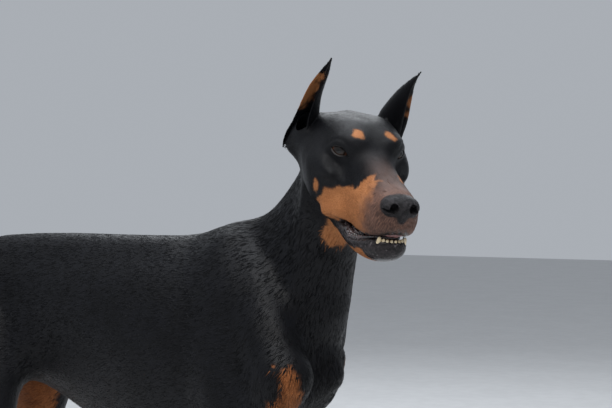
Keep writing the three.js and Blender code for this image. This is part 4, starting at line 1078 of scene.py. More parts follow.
def nearEarFoot(p):
    h = toHead(p)
    near = np.zeros(len(p), bool)
    for s in (1, -1):
        root, z, opening, x, height = earFrame(s)
        along = (h - root) @ z
        out = lengths(h - root - along[:, None] * z)
        near |= (along > -24) & (along < 16) & (out < 34) & (out > 12.5) & (np.abs(bodyField(p)) < 6)
    return near


def nearCupRim(p):
    h = toHead(p)
    near = np.zeros(len(p), bool)
    for s in (1, -1):
        root, z, opening, x, height = earFrame(s)
        q = (h - inEar(s, *earHollow["at"][s])) @ np.array([x, opening, z]).T / earHollow["size"]
        near |= (np.abs(lengths(q) - 1) < 0.13) & (q[:, 1] > -0.35)
    return near


# Merges the flattest triangles until no more than a number are left
def thinFlats(obj, most):
    share = most / len(trianglesOf(obj))
    if share < 1:
        applyModifier(obj, "DECIMATE", ratio=share, use_collapse_triangulate=True)


skin = makeSkin()
for s in (1, -1):
    joinTo(skin, earShell(s))
relax(skin, 0.5, 5, nearEarFoot(toTrunk(pointsOf(skin))))
for s in (1, -1):
    cut(skin, earCup(s))
relax(skin, 0.5, 5, nearCupRim(toTrunk(pointsOf(skin))))
print("ears joined:", len(skin.data.polygons))
openMouth(skin)
softenEdge(skin, lipField, nearSlot, 4, 1.2)
print("mouth open:", len(skin.data.polygons))
for s in (1, -1):
    openEye(skin, s)
    openNostril(skin, s)
print("eyes and nostrils open:", len(trianglesOf(skin)), "triangles")
thinFlats(skin, skinShape["triangles"])
print("flattest places thinned:", len(trianglesOf(skin)), "triangles")
soleHeight = 0.0002  # keeps the soles just above the floor
standing = pointsOf(skin)
standing[:, 2] = np.maximum(standing[:, 2], soleHeight)
movePoints(skin, standing)
pick(skin)
bpy.ops.object.shade_smooth()
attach(skin, "root")
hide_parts(*[name for name in frame["nodes"] if not name.startswith(("eye_", "tongue"))])


# A round bar along points in the head's frame, or the trunk's, with a radius at each
def bar(name, points, radii, sides=10, inHead=True, flat=1.0):
    points = np.asarray(points, float)
    radii = np.broadcast_to(np.asarray(radii, float), len(points))
    ways = np.gradient(points, axis=0)
    ways /= lengths(ways)[:, None]
    side = unit(np.cross(ways[0], (0.13, 0.2, 1)))
    rings = []
    for p, way, r in zip(points, ways, radii):
        side = unit(side - way * (side @ way))
        other = np.cross(way, side)
        a = np.linspace(0, 2 * math.pi, sides, endpoint=False)[:, None]
        rings.append(p + r * (np.cos(a) * side * flat + np.sin(a) * other))
    corners = np.vstack(rings)
    faces = []
    for i in range(len(points) - 1):
        for j in range(sides):
            k = (j + 1) % sides
            faces.append((i * sides + j, i * sides + k, (i + 1) * sides + k, (i + 1) * sides + j))
    faces.append(tuple(range(sides))[::-1])
    faces.append(tuple((len(points) - 1) * sides + j for j in range(sides)))
    obj = meshFrom(name, toMetres(fromHead(corners) if inHead else corners), faces)
    editAll(obj, lambda: bpy.ops.mesh.normals_make_consistent(inside=False))
    return obj


def joined(name, objs):
    pick(*objs)
    bpy.ops.object.join()
    obj = bpy.context.object
    obj.name = name
    bpy.ops.object.shade_smooth()
    return obj


# A point attribute of three values for materials to read
def paint(obj, name, values):
    layer = obj.data.color_attributes.new(name, "FLOAT_COLOR", "POINT")
    rgba = np.ones((len(obj.data.vertices), 4), np.float32)
    rgba[:, :3] = values
    layer.data.foreach_set("color", rgba.ravel())


# Eyes: a ball with a slightly raised cornea, its rings round the gaze. Pupil and iris are shares of
# the ball's radius, each with its blurred edge
eyeLook = {
    "cornea": 0.7, "corneaWidth": 34,
    "pupil": (0.25, 0.2), "irisRim": (0.44, 0.56), "iris": (0.55, 0.62),
    # The lower iris colour is painted light: the lower iris lit by light falling through the cornea
    "dark": (0.0028, 0.0014, 0.0009), "ray": (0.013, 0.005, 0.0022), "lowerLitIris": (0.045, 0.015, 0.0045),
    "rim": (0.006, 0.004, 0.003), "black": (0.001, 0.001, 0.0012),
    "white": [(0.05, 0.020, 0.012), (0.15, 0.065, 0.040)],
}


# Paints how far each point is from the gaze and how high it stands
def makeEye(s):
    radius = stance["eyeRadius"]
    eye = ball(64, 48, radius)
    eye.name = "eyeLeft" if s > 0 else "eyeRight"
    p = pointsOf(eye)
    around = np.degrees(np.arccos(np.clip(p[:, 2] / radius, -1, 1)))
    raised = eyeLook["cornea"] * (1 - smooth(0, eyeLook["corneaWidth"], around))
    flat = np.where(p[:, 2] > 0, np.hypot(p[:, 0], p[:, 1]) / radius, 1)
    paint(eye, "gaze", np.column_stack([flat, p[:, 1] / 26 + 0.5, p[:, 0] * s / 26 + 0.5]))
    movePoints(eye, p * (1 + raised / radius)[:, None])
    intoHead(eye, eyeAt(s), gazeAxes(s))
    bpy.ops.object.shade_smooth()
    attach(eye, "root")
    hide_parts("eye_left" if s > 0 else "eye_right")
    return eye


# The wet edges of the lids, lying on the eyeball
def makeLids():
    bars = []
    for s in (1, -1):
        for lid in ("upper", "lower"):
            edge = lidEdge(s, lid, 22)
            r = stance["eyeRadius"] + lids["rim"] + 0.3
            onBall = np.column_stack([edge, np.sqrt(r * r - (edge ** 2).sum(1))])
            t = np.linspace(0, 1, len(edge))
            radii = lids["rim"] * (0.75 + 0.45 * np.sin(math.pi * t)) * (1.25 if lid == "upper" else 1)
            bars.append(bar("lid", onBall @ gazeAxes(s) + eyeAt(s), radii, 10))
    rims = joined("lidRims", bars)
    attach(rims, "root")
    return rims


def makeTearCorners():
    corners = []
    for s in (1, -1):
        corner = egg(20, 14, (2.4, 1.5, 1.3))
        x, y = s * (lids["inner"][0] + 2.4), lids["inner"][1] + 0.5
        z = math.sqrt((stance["eyeRadius"] + 0.2) ** 2 - x * x - y * y)
        intoHead(corner, np.array((x, y, z)) @ gazeAxes(s) + eyeAt(s), gazeAxes(s))
        corners.append(corner)
    tear = joined("tearCorners", corners)
    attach(tear, "root")
    return tear


# A line round the mouth between two angles, some way inside the skin, at a share of the gap's height
def lipLine(share, lift, inset, start=-138, end=138, count=61):
    line = []
    low, high = sorted(mouthShape["lowerLip"]), sorted(mouthShape["upperLip"])
    r = np.arange(20, 90, 0.5)
    for a in np.radians(np.linspace(start, end, count)):
        x = 62 + r * math.cos(a)
        bottom, top = (np.interp(x, *zip(*edge)) for edge in (low, high))
        z = mix(bottom, top, share) + lift
        p = np.column_stack([x, r * math.sin(a) * 0.8, z])
        d = bodyField(fromHead(p))
        line.append(p[np.argmax(d > -inset)])
    return np.array(line)


# Floor of the mouth, lower gum and upper gum: place and size of each
gumLumps = [((62, 0, -82), (38, 18, 11)), ((98, 0, -66.5), (19, 13.5, 7)), ((101, 0, -51.5), (19, 18.5, 6.5))]


def makeGums():
    lumps = []
    for at, size in gumLumps:
        lump = ball(40, 26)
        p = pointsOf(lump) * size
        movePoints(lump, p + 0.5 * wobble(p, 9, 3)[:, None] * unit((0, 0, 1)))
        intoHead(lump, at)
        lumps.append(lump)
    gums = joined("gums", lumps)
    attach(gums, "root")
    return gums


# The edges of the lips and the dark folds that close the corners of the mouth
def makeLipFolds():
    t = np.linspace(-1, 1, 121)
    knobs = np.abs(np.sin(t * 46)) * smooth(0.3, 0.6, np.abs(t))
    folds = [bar("fold", lipLine(0, 0.9, 3.6, count=121), 2.2 + 0.9 * knobs, 12),
             bar("fold", lipLine(1, -0.6, 5.0, count=121), 1.9 + 0.3 * np.sin(t * 31), 12)]
    t = np.linspace(0, 1, 61)
    for share, inset, reach, size in ((0.3, 4.6, 62, 2.6), (0.55, 6.2, 74, 2.5), (0.8, 7.4, 84, 2.3)):
        for side in (1, -1):
            line = lipLine(share, 0, inset, side * 136, side * reach, 61)
            radii = size * (1 - 0.55 * t ** 3) + 0.55 * np.abs(np.sin(t * 27 + share * 9))
            folds.append(bar("fold", line, radii, 12))
    lips = joined("lipFolds", folds)
    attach(lips, "root")
    return lips


# Lower teeth of one side: the canine's foot, then the incisors' feet
teethShape = {
    "canines": [(111.5, 14.2, -68)],
    "canine": {"radius": 3.1, "height": 11.6, "lean": (1.5, 1.2)},
    "incisors": [(117.2, 2.3, -64), (116.2, 6.7, -64), (114.2, 10.6, -64)],
    "incisor": {"radius": 2.1, "height": 6.2, "lean": (1.0, 0)},
}


def tooth(x, y, z, radius, height, lean):
    t = np.linspace(0, 1, 9)
    points = np.column_stack([x + lean[0] * t ** 1.6, y + lean[1] * t ** 1.6 * np.sign(y), z + height * t])
    return bar("tooth", points, radius * (1 - t ** 2.6) ** 0.6 + 0.25, 14, flat=0.85)


def makeTeeth():
    teeth = []
    for s in (1, -1):
        for kind in ("canine", "incisor"):
            for x, y, z in teethShape[kind + "s"]:
                teeth.append(tooth(x, s * y, z, **teethShape[kind]))
    row = joined("teeth", teeth)
    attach(row, "root")
    return row


tongueShape = {"at": (70, 0, -73), "size": (36.6, 14.2, 6.8), "lean": -7.4, "groove": 1.6}


# A tongue with a groove along its middle
def makeTongue():
    tongue = ball(48, 32)
    tongue.name = "tongueFlesh"
    p = pointsOf(tongue) * tongueShape["size"]
    groove = np.exp(-(p[:, 1] / 2.4) ** 2) * (p[:, 2] > 0) * (1 - (p[:, 0] / 37) ** 2)
    p[:, 2] -= tongueShape["groove"] * groove
    lean = math.radians(tongueShape["lean"])
    spin = np.array([[math.cos(lean), 0, -math.sin(lean)], [0, 1, 0], [math.sin(lean), 0, math.cos(lean)]])
    movePoints(tongue, p)
    intoHead(tongue, tongueShape["at"], spin)
    bpy.ops.object.shade_smooth()
    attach(tongue, "root")
    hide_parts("tongue")
    return tongue


# Claws: four a paw, curved down from the toe's end
def makeClaws(name, leg):
    x, y, size = pawMiddle(leg)
    claws = []
    for toe in paws["toes"]:
        reach, across = toePlace(toe, size)
        t = np.linspace(0, 1, 9)
        cx = x + (35 + reach + 15 * t) * size
        cz = 14.5 - 1.5 * t - 9.5 * t ** 2
        cy = y + across + 0 * t
        radii = 3.7 * (1 - t) ** 0.75 + 0.35
        claws.append(bar("claw", np.column_stack([cx, cy, cz]), radii, 10, False, flat=0.8))
    row = joined("claws_" + name, claws)
    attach(row, "root")
    return row


eyes = [makeEye(s) for s in (1, -1)]
lidRims, tearCorners = makeLids(), makeTearCorners()
gums, lipFolds, teeth, tongue = makeGums(), makeLipFolds(), makeTeeth(), makeTongue()
claws = [makeClaws(name, leg) for name, leg in legs.items()]
print("eyes, mouth and claws made")

# Markings, as distances in millimetres inside each patch of tan; a soft edge comes after. The throat
# and the ears' edges are given by their ends: along the ear, then how far in from its outer edge
markings = {
    "muzzle": [(-15, -67), (4, -43), (30, -31), (51, -21), (60, -8), (66, 3), (71, 5), (78, -6), (88, -14),
               (104, -22), (118, -32), (130, -44), (122, -62), (84, -74), (40, -80), (16, -77)],
    "brow": {"at": (9, 21, 28), "size": (10.5, 8.6, 7.2)},
    "cheek": {"at": (-12, 54, -50), "size": (3.8, 8, 9)},
    "throat": {"top": -88, "low": -146, "back": -70, "front": 100},
    "earEdge": {-1: (26, 92, 0), 1: (26, 64, 3.5)},
    "breast": {"top": 526, "low": 428, "middle": 111, "wide": 29},
    "frontLeg": (118, 250, -14, 16, 30),
    "hindLeg": (150, 320, -4, 18, 40),
    "vent": {"at": (-376, 0, 616), "size": (26, 20, 24)},
    "edge": 1.6,
}
outside = -50.0


def patchDepth(p, at, size):
    q = (p - np.asarray(at)) / np.asarray(size)
    return (1 - lengths(q)) * sorted(size)[1]


# Tan on muzzle, brows, cheeks and throat, and inside the outer edges of the ears
def headTan(p, n):
    h = toHead(p)
    a = np.abs(h[:, 1])
    bridge = mix(13, 5, smooth(80, 110, h[:, 0]))
    best = np.minimum(-outlineDistance(h[:, [0, 2]], markings["muzzle"]), a - bridge)
    for name in ("brow", "cheek"):
        best = np.maximum(best, patchDepth(np.column_stack([h[:, 0], a, h[:, 2]]), **markings[name]))
    throat = markings["throat"]
    under = np.minimum(throat["top"] - h[:, 2] + 0.10 * (h[:, 0] - 40), throat["front"] - h[:, 0])
    under = np.minimum(np.minimum(under, h[:, 0] - throat["back"]), h[:, 2] - throat["low"])
    best = np.maximum(best, np.minimum(under, mix(15, 34, smooth(-30, 25, h[:, 0])) - a))
    best = np.where(lengths(h + (20, 0, 30)) < 190, best, outside)
    radii = [ring[0] for ring in earShape["rings"]]
    for sign in (1, -1):
        root, z, opening, x, height = earFrame(sign)
        q = h - root
        along, across = q @ z, q @ x * sign
        t = np.clip(along / height, 0, 1)
        ringed = np.interp(t, np.linspace(0, 1, len(radii)), radii)
        across = across + earShape["bow"][sign] * np.sin(math.pi * t) ** 1.5
        low, high, shift = markings["earEdge"][sign]
        reach = ringed * earPinch(sign, t, 0) * mix(1.0, -0.35, t) + shift
        facing = 12 * (n @ (opening @ headAxes) + n @ (x @ headAxes) * sign + 0.3)
        strip = np.minimum(np.minimum(-across - reach, facing), np.minimum(along - low, high - along))
        best = np.maximum(best, np.where(lengths(q) < 130, strip, outside))
    return best


# Tan on the feet and up the inner side of one leg, with dark lines along the toes
def legTan(p, n, leg):
    side = leg["side"]
    low, high, start, end, forward = markings["frontLeg" if leg["front"] else "hindLeg"]
    inner = side * (side * stance["legLine"] - p[:, 1])
    reach = mix(low, high, smooth(start, end, inner)) + forward * n[:, 0]
    middle, size = pawMiddle(leg)[1:]
    across = np.abs(p[:, 1] - middle) / (paws["spacing"] * size)
    toeLine = 1.5 - np.abs(np.mod(across, 1) - 0.5) * 15 + 0.3 * wobble(p, 9, 4)
    toes = (p[:, 2] > 17) & (p[:, 0] > leg["paw"] + 10) & (p[:, 0] < leg["paw"] + 38) & (n[:, 2] > 0)
    here = np.where(toes & (toeLine > 0), -2 * toeLine, (reach - p[:, 2]) * 0.5)
    near = (np.sign(p[:, 1]) == side) & (np.abs(p[:, 1]) > 20)
    near &= (np.abs(p[:, 0] - leg["low"][0]) < 150) & (p[:, 2] < 430)
    return np.where(near, here, outside)


# Two patches on the breast, one under the tail, and the inner sides of the thighs
def trunkTan(p, n):
    b = markings["breast"]
    t = np.clip((b["top"] - p[:, 2]) / (b["top"] - b["low"]), 0, 1)
    sideways = np.abs(np.abs(p[:, 1]) - b["middle"] + 26 * t)
    breast = np.minimum(b["wide"] * (0.12 + 0.88 * t) - sideways, b["top"] - p[:, 2])
    breast = np.minimum(breast, np.minimum(p[:, 2] - b["low"], 60 * (n[:, 0] - 0.15)))
    best = np.where(p[:, 0] > 290, breast, outside)
    hindInner = (p[:, 0] < -150) & (np.abs(p[:, 1]) < 100) & (p[:, 2] < 560) & (p[:, 2] > 300)
    thigh = 20 * (-np.sign(p[:, 1]) * n[:, 1] - 0.55) - 0.12 * (p[:, 2] - 430)
    best = np.maximum(best, np.where(hindInner, thigh, outside))
    return np.maximum(best, patchDepth(p, **markings["vent"]))


def tanDepth(p, n):
    best = np.maximum(headTan(p, n), trunkTan(p, n))
    for leg in legs.values():
        best = np.maximum(best, legTan(p, n, leg))
    return best + 2.2 * wobble(p, 17, 5) + 0.9 * wobble(p, 5, 6)


# How far the dark lip reaches from the gap, by place along the lower jaw: wide below, narrow above
lipEdge = {"x": (20, 56, 98, 130), "z": (-78, -79, -65, -54), "below": 12.5, "above": 3.2, "chin": 16}


# Masks: tan, brown and leather, then lip, mouth and pad
def masksOf(p, n):
    h = toHead(p)
    a = np.abs(h[:, 1])
    inHead = lengths(h) < 220
    edge = markings["edge"]
    tan = smooth(-edge, edge, tanDepth(p, n))
    nose = field["nose"].distance(h)
    leather = np.where(inHead & (h[:, 0] > 90), smooth(1.2, -0.2, nose + 1.0), 0)
    bridge = smooth(18, 74, h[:, 0]) * smooth(24, 8, a) * smooth(-34, -14, h[:, 2])
    whiskers = smooth(64, 108, h[:, 0] + 4 * wobble(p, 12, 9)) * smooth(-80, -62, h[:, 2])
    brown = np.where(inHead, np.maximum(0.4 * bridge, whiskers), 0)
    slot = slotDistance(h)
    below = h[:, 2] < np.interp(h[:, 0], lipEdge["x"], lipEdge["z"])
    outer = np.where(below, lipEdge["below"], lipEdge["above"])
    chin = (h[:, 0] > 88) & (h[:, 2] < -60)
    outer = outer + np.where(chin, lipEdge["chin"] * smooth(88, 104, h[:, 0]), 0)
    lip = np.where(inHead & (h[:, 0] > 14), smooth(outer, outer - 2.5, slot + 0.8 * wobble(p, 6, 8)), 0)
    inside = np.where(inHead & (h[:, 0] > 20), smooth(-3.5, -6.5, bodyField(p)), 0) * (slot < 3)
    pad = smooth(7, 4, p[:, 2])
    return np.column_stack([tan, brown, leather]), np.column_stack([lip, inside, pad])


def paintMarkings(obj):
    p = toTrunk(pointsOf(obj))
    marks, wet = masksOf(p, normalsOf(obj))
    paint(obj, "marks", marks)
    paint(obj, "wet", wet)


# Which way the coat lies on the head and the neck, and on trunk, legs and tail
faceWay = -headForward - 0.25 * headUp
neckLie = neckRings[2, :3] - neckRings[22, :3]
trunkWay, downWay, tailWay = np.array([-1, 0, -0.28]), np.array([-0.12, 0, -1]), unit((-0.85, 0, 0.5))


# The way at each point, and how much of a say head, neck and the hanging parts have
def lieOf(p):
    h = toHead(p)
    head = smooth(150, 96, lengths(h + (30, 0, 20)))
    middle, end = neckRings[neckSteps // 2, :3], neckRings[neckSteps, :3]
    neckAlong = np.clip((p - middle) @ unit(end - neckRings[0, :3]), -200, 200)
    neck = smooth(-135, -60, neckAlong) * (1 - head) * (p[:, 0] > 180)
    low = smooth(470, 380, p[:, 2] + 0.35 * np.abs(np.abs(p[:, 0]) - 100))
    low = low * smooth(40, 70, np.abs(p[:, 1]))
    low = np.maximum(low, smooth(350, 300, p[:, 2]))
    breast = smooth(260, 330, p[:, 0]) * (1 - neck) * (1 - head)
    down = np.maximum(low, breast)
    tail = smooth(-356, -380, p[:, 0]) * (p[:, 2] > 640)
    trunk = np.clip(1 - head - neck - down - tail, 0, 1)
    cheeks = np.sign(h[:, 1]) * (np.abs(h[:, 1]) > 20)
    headWay = faceWay + 0.3 * cheeks[:, None] * headLeft
    neckWay = unit(neckLie) + np.array([-0.1, 0, -0.15])
    way = (head[:, None] * headWay + neck[:, None] * neckWay + trunk[:, None] * trunkWay
           + down[:, None] * downWay + tail[:, None] * tailWay)
    return way, np.column_stack([head, neck, down])


paintMarkings(skin)
paint(skin, "lie", lieOf(toTrunk(pointsOf(skin)))[1])
print("markings painted")

# Coat tufts: short flat locks that lie along the skin
tufts = {"count": 76000, "pieces": 4, "patch": 0.003, "width": 1.15, "seed": 11}


def areaOf(points, triangles):
    a, b, c = (points[triangles[:, k]] for k in range(3))
    return lengths(np.cross(b - a, c - a)) / 2


# How thickly tufts stand, how long they are and how far their tips rise, in millimetres
def tuftGrowth(p, n):
    h = toHead(p)
    head = smooth(120, 84, lengths(h + (30, 0, 22)))
    face = head * smooth(-70, -40, h[:, 0])
    length = mix(12.5, 7.5, head) * mix(1, 0.5, face)
    rise = mix(0.4, 0.22, head)
    density = mix(1.0, 1.5, head) * mix(1, 0.14, smooth(20, 50, h[:, 0]))
    length = length * mix(1, 0.8, smooth(30, 60, h[:, 0]))
    ridge = smooth(0.55, 0.9, n[:, 2]) * smooth(150, 240, p[:, 0]) * (1 - head)
    nape = (p[:, 0] > 200) & (p[:, 2] > 680) & (h[:, 0] < -90) & (n[:, 0] < -0.2)
    breast = smooth(270, 330, p[:, 0]) * smooth(560, 520, p[:, 2]) * smooth(0.1, 0.5, n[:, 0])
    belly = smooth(-0.3, -0.8, n[:, 2]) * (p[:, 2] > 330) * (p[:, 0] < 300)
    thigh = smooth(-240, -330, p[:, 0]) * smooth(-0.1, -0.6, n[:, 0]) * (p[:, 2] > 220)
    tail = (p[:, 0] < -380) & (p[:, 2] > 630)
    rough = np.clip(0.5 * ridge + 0.3 * nape + breast + belly + thigh + 1.2 * tail, 0, 1.4)
    low = smooth(110, 60, p[:, 2])
    length = length * mix(1, 0.38, low) * (1 + 0.35 * rough)
    return density * (1 + 0.9 * rough), length, rise * (1 + 2.2 * rough) * mix(1, 0.6, low)


# Which parts of the skin carry a coat at all
def coated(p, marks, wet):
    h = toHead(p)
    deep = np.where(lengths(h) < 150, -3.6, -9)
    bare = (marks[:, 2] > 0.2) | (wet > 0.25).any(1) | (bodyField(p) < deep)
    eyes = np.minimum(*(lengths(h - eyeAt(s) - unit(lookDirection(s)) * 12) for s in (1, -1)))
    lips = (np.abs(slotDistance(h)) < 4) & (h[:, 0] > 18) & (np.abs(h[:, 1]) < 50)
    return ~(bare | (eyes < 13.5) | lips | (p[:, 2] < 12))


# Which points are on an ear, and the way to its tip
def earPlace(p):
    h = toHead(p)
    onEar = np.zeros(len(p), bool)
    way = np.zeros((len(p), 3))
    for s in (1, -1):
        root, z, opening, x, height = earFrame(s)
        q = h - root
        along = q @ z
        here = (along > 6) & (along < height + 3) & (lengths(q - along[:, None] * z) < 30)
        onEar |= here
        way[here] = z @ headAxes
    return onEar, way


def paintedOn(obj, name):
    values = np.empty(len(obj.data.vertices) * 4, np.float32)
    obj.data.color_attributes[name].data.foreach_get("color", values)
    return values.reshape(-1, 4)[:, :3]


# Places on the skin, its normals there, and each tuft's length and rise
def rootsOnSkin(count, draw):
    points, triangles = toTrunk(pointsOf(skin)), trianglesOf(skin)
    normals = normalsOf(skin)
    density, length, rise = tuftGrowth(points, normals)
    grows = coated(points, paintedOn(skin, "marks"), paintedOn(skin, "wet"))
    weight = areaOf(points, triangles) * (density * grows)[triangles].mean(1) * grows[triangles].all(1)
    chosen = draw.choice(len(triangles), count, p=weight / weight.sum())
    a, b = draw.random(count), draw.random(count)
    flip = a + b > 1
    a[flip], b[flip] = 1 - a[flip], 1 - b[flip]
    share = np.column_stack([1 - a - b, a, b])[:, :, None]
    corners = triangles[chosen]
    at, n, long, up = ((values[corners] * share).sum(1) for values in
                       (points, normals, length[:, None], rise[:, None]))
    return at, n / lengths(n)[:, None], long[:, 0], up[:, 0]


# An unwrap of the skin's own shape, read at the tufts' roots
def unwrapSkin():
    copy = skin.copy()
    copy.data = skin.data.copy()
    bpy.context.collection.objects.link(copy)
    applyModifier(copy, "DECIMATE", ratio=0.12)
    editAll(copy, lambda: bpy.ops.uv.smart_project(angle_limit=math.radians(66), island_margin=0.002))
    return copy


def patchesAt(unwrapped, roots):
    mesh = unwrapped.data
    mesh.calc_loop_triangles()
    points = [v.co.copy() for v in mesh.vertices]
    places = [Vector((*uv.uv, 0)) for uv in mesh.uv_layers.active.data]
    triangles = [tuple(t.vertices) for t in mesh.loop_triangles]
    corners = [[places[k] for k in t.loops] for t in mesh.loop_triangles]
    tree = BVHTree.FromPolygons(points, triangles)
    out = []
    for root in toMetres(roots):
        spot, normal, face, distance = tree.find_nearest(Vector(root))
        out.append(barycentric_transform(spot, *(points[k] for k in triangles[face]), *corners[face])[:2])
    return np.array(out)


# The directions of the locks at some places, along the skin, with a little play
def tuftWays(p, n, draw):
    way = lieOf(p)[0]
    onEar, earWay = earPlace(p)
    way[onEar] = earWay[onEar]
    way = way + draw.normal(0, 0.13, way.shape)
    way -= (way * n).sum(1)[:, None] * n
    return way / lengths(way)[:, None]


# Points moved to a height over the nearest place of the skin
def hug(tree, points, heights):
    found = [tree.find_nearest(Vector(spot))[:2] for spot in toMetres(points)]
    places = np.array([place for place, normal in found])
    outward = np.array([normal for place, normal in found])
    return toTrunk(places) + outward * np.asarray(heights)[:, None]


# Each tuft is a flat three-sided spike: two rings of three points and a tip, bent onto the skin
tuftFaces = [(0, 1, 2), (0, 3, 4), (0, 4, 1), (1, 4, 5), (1, 5, 2), (2, 5, 3), (2, 3, 0),
             (3, 6, 4), (4, 6, 5), (5, 6, 3)]
tuftOutline = [(-1, -1), (1, -1), (0, -0.6), (-0.7, 0.2), (0.7, 0.2), (0, 0.4), (0, 1)]


def growTufts(name, tree, roots, normals, lengths, rises, patches, draw):
    count = len(roots)
    ways = tuftWays(roots, normals, draw)
    across = np.cross(normals, ways)
    lengths = lengths * draw.uniform(0.75, 1.25, count) * np.where(earPlace(roots)[0], 0.55, 1)
    rises = rises * draw.uniform(0.5, 1.5, count)
    widths = tufts["width"] * np.clip(lengths / 12.5, 0.45, 1.1) * draw.uniform(0.75, 1.2, count)
    sway = draw.normal(0, 0.09, count)
    points = np.empty((count, 7, 3))
    for ring, (t, wide, lift) in enumerate(((0, 0.7, -0.5), (0.5, 1.0, 0.16), (1, 0, 1))):
        middle = roots + ways * (lengths * t)[:, None] + across * (sway * lengths * t * t)[:, None]
        middle = hug(tree, middle, rises * lift + 0.02) if t else middle + normals * lift
        if ring < 2:
            half = across * (widths * wide / 2)[:, None]
            high = normals * (0.07 + 0.05 * widths)[:, None]
            points[:, ring * 3] = middle - half
            points[:, ring * 3 + 1] = middle + half
            points[:, ring * 3 + 2] = middle + high
        else:
            points[:, 6] = middle
    faces = (np.array(tuftFaces)[None] + 7 * np.arange(count)[:, None, None]).reshape(-1, 3)
    mesh = bpy.data.meshes.new(name)
    flat = toMetres(points.reshape(-1, 3)).astype(np.float32)
    mesh.vertices.add(len(flat))
    mesh.vertices.foreach_set("co", flat.ravel())
    mesh.loops.add(len(faces) * 3)
    mesh.loops.foreach_set("vertex_index", faces.astype(np.int32).ravel())
    mesh.polygons.add(len(faces))
    mesh.polygons.foreach_set("loop_start", np.arange(0, len(faces) * 3, 3, dtype=np.int32))
    mesh.update()
    mesh.validate()
    obj = bpy.data.objects.new(name, mesh)
    bpy.context.collection.objects.link(obj)
    marks, wet = masksOf(roots, normals)
    paint(obj, "marks", np.repeat(marks, 7, axis=0))
    share = np.tile([0, 0, 0, 0.5, 0.5, 0.5, 1.0], count)
    paint(obj, "lock", np.column_stack([np.repeat(draw.random(count), 7), share, share]))
    spread = np.array(tuftOutline) * tufts["patch"] / 2
    uv = (patches[:, None] + spread[None]).reshape(-1, 2)
    layer = mesh.uv_layers.new(name="OFBake")
    layer.data.foreach_set("uv", np.clip(uv, 0.001, 0.999)[faces.ravel()].astype(np.float32).ravel())
    pick(obj)
    bpy.ops.object.shade_smooth()
    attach(obj, "root")
    return obj


def growCoat():
    draw = np.random.default_rng(tufts["seed"])
    count = tufts["count"] // 1
    roots, normals, lengths, rises = rootsOnSkin(count, draw)
    tree = BVHTree.FromPolygons([Vector(p) for p in pointsOf(skin)], trianglesOf(skin).tolist())
    unwrapped = unwrapSkin()
    patches = patchesAt(unwrapped, roots)
    bpy.data.objects.remove(unwrapped)
    order = np.argsort(roots[:, 0])
    coats = []
    for k, part in enumerate(np.array_split(order, tufts["pieces"])):
        coats.append(growTufts(f"coat_{k + 1}", tree, roots[part], normals[part], lengths[part], rises[part],
                               patches[part], draw))
    return coats


coats = growCoat()
print("coat grown:", sum(len(coat.data.polygons) for coat in coats), "triangles")


# Materials. A wire is one socket's value, and arithmetic on it adds Math nodes
class Wire:
    def __init__(self, finish, socket):
        self.finish = finish
        self.socket = socket

    def maths(self, operation, a, b):
        return self.finish.node("ShaderNodeMath", {"operation": operation}, {0: a, 1: b})

    def __add__(self, other):
        return self.maths("ADD", self, other)

    def __radd__(self, other):
        return self.maths("ADD", other, self)

    def __sub__(self, other):
        return self.maths("SUBTRACT", self, other)

    def __rsub__(self, other):
        return self.maths("SUBTRACT", other, self)

    def __mul__(self, other):
        return self.maths("MULTIPLY", self, other)

    def __rmul__(self, other):
        return self.maths("MULTIPLY", other, self)


class Finish:
    def __init__(self, name):
        self.material = bpy.data.materials.new(name)
        self.material.use_nodes = True
        self.tree = self.material.node_tree
        self.tree.nodes.clear()
        self.place = self.node("ShaderNodeTexCoord", output="Object")

    # Any node: its settings first, then the values or wires of its sockets
    def node(self, kind, settings=None, sockets=None, output=0):
        made = self.tree.nodes.new(kind)
        for name, value in (settings or {}).items():
            setattr(made, name, value)
        for name, value in (sockets or {}).items():
            if isinstance(value, Wire):
                self.tree.links.new(value.socket, made.inputs[name])
            else:
                made.inputs[name].default_value = value
        return Wire(self, made.outputs[output]) if made.outputs else None

    def noise(self, size, detail=2, at=None, rough=0.5):
        sockets = {"Vector": at or self.place, "Scale": 1 / size, "Detail": detail, "Roughness": rough}
        return self.node("ShaderNodeTexNoise", {}, sockets)

    # Three values painted on the piece
    def painted(self, name):
        colour = self.node("ShaderNodeAttribute", {"attribute_name": name}, {}, "Color")
        return [self.node("ShaderNodeSeparateColor", {}, {"Color": colour}, k) for k in range(3)]

    def step(self, value, low, high, start=0.0, end=1.0):
        return self.node("ShaderNodeMapRange", {"interpolation_type": "SMOOTHSTEP"},
                         {"Value": value, "From Min": low, "From Max": high, "To Min": start, "To Max": end})

    def tint(self, share, a, b):
        a, b = (c if isinstance(c, Wire) else (*c, 1) for c in (a, b))
        return self.node("ShaderNodeMix", {"data_type": "RGBA"}, {0: share, 6: a, 7: b}, 2)

    # Noise drawn out along a direction of the body, like hair
    def streaks(self, way, length, width):
        x = Vector(unit(way))
        y = x.cross(Vector((0.2, 0.1, 1))).normalized()
        turned = Matrix((x, y, x.cross(y))).transposed().to_euler()
        at = self.node("ShaderNodeMapping", {"vector_type": "TEXTURE"},
                       {"Vector": self.place, "Rotation": turned, "Scale": (length, width, width)})
        return self.noise(1, 2, at)

    def surface(self, constants, wires, height=None, depth=0.0005):
        sockets = {**constants, **wires}
        if height is not None:
            relief = {"Height": height, "Distance": depth}
            sockets["Normal"] = self.node("ShaderNodeBump", {}, relief, "Normal")
        shader = self.node("ShaderNodeBsdfPrincipled", {}, sockets, "BSDF")
        self.node("ShaderNodeOutputMaterial", {}, {"Surface": shader})
        return self.material


def wear(obj, material):
    obj.data.materials.clear()
    obj.data.materials.append(material)


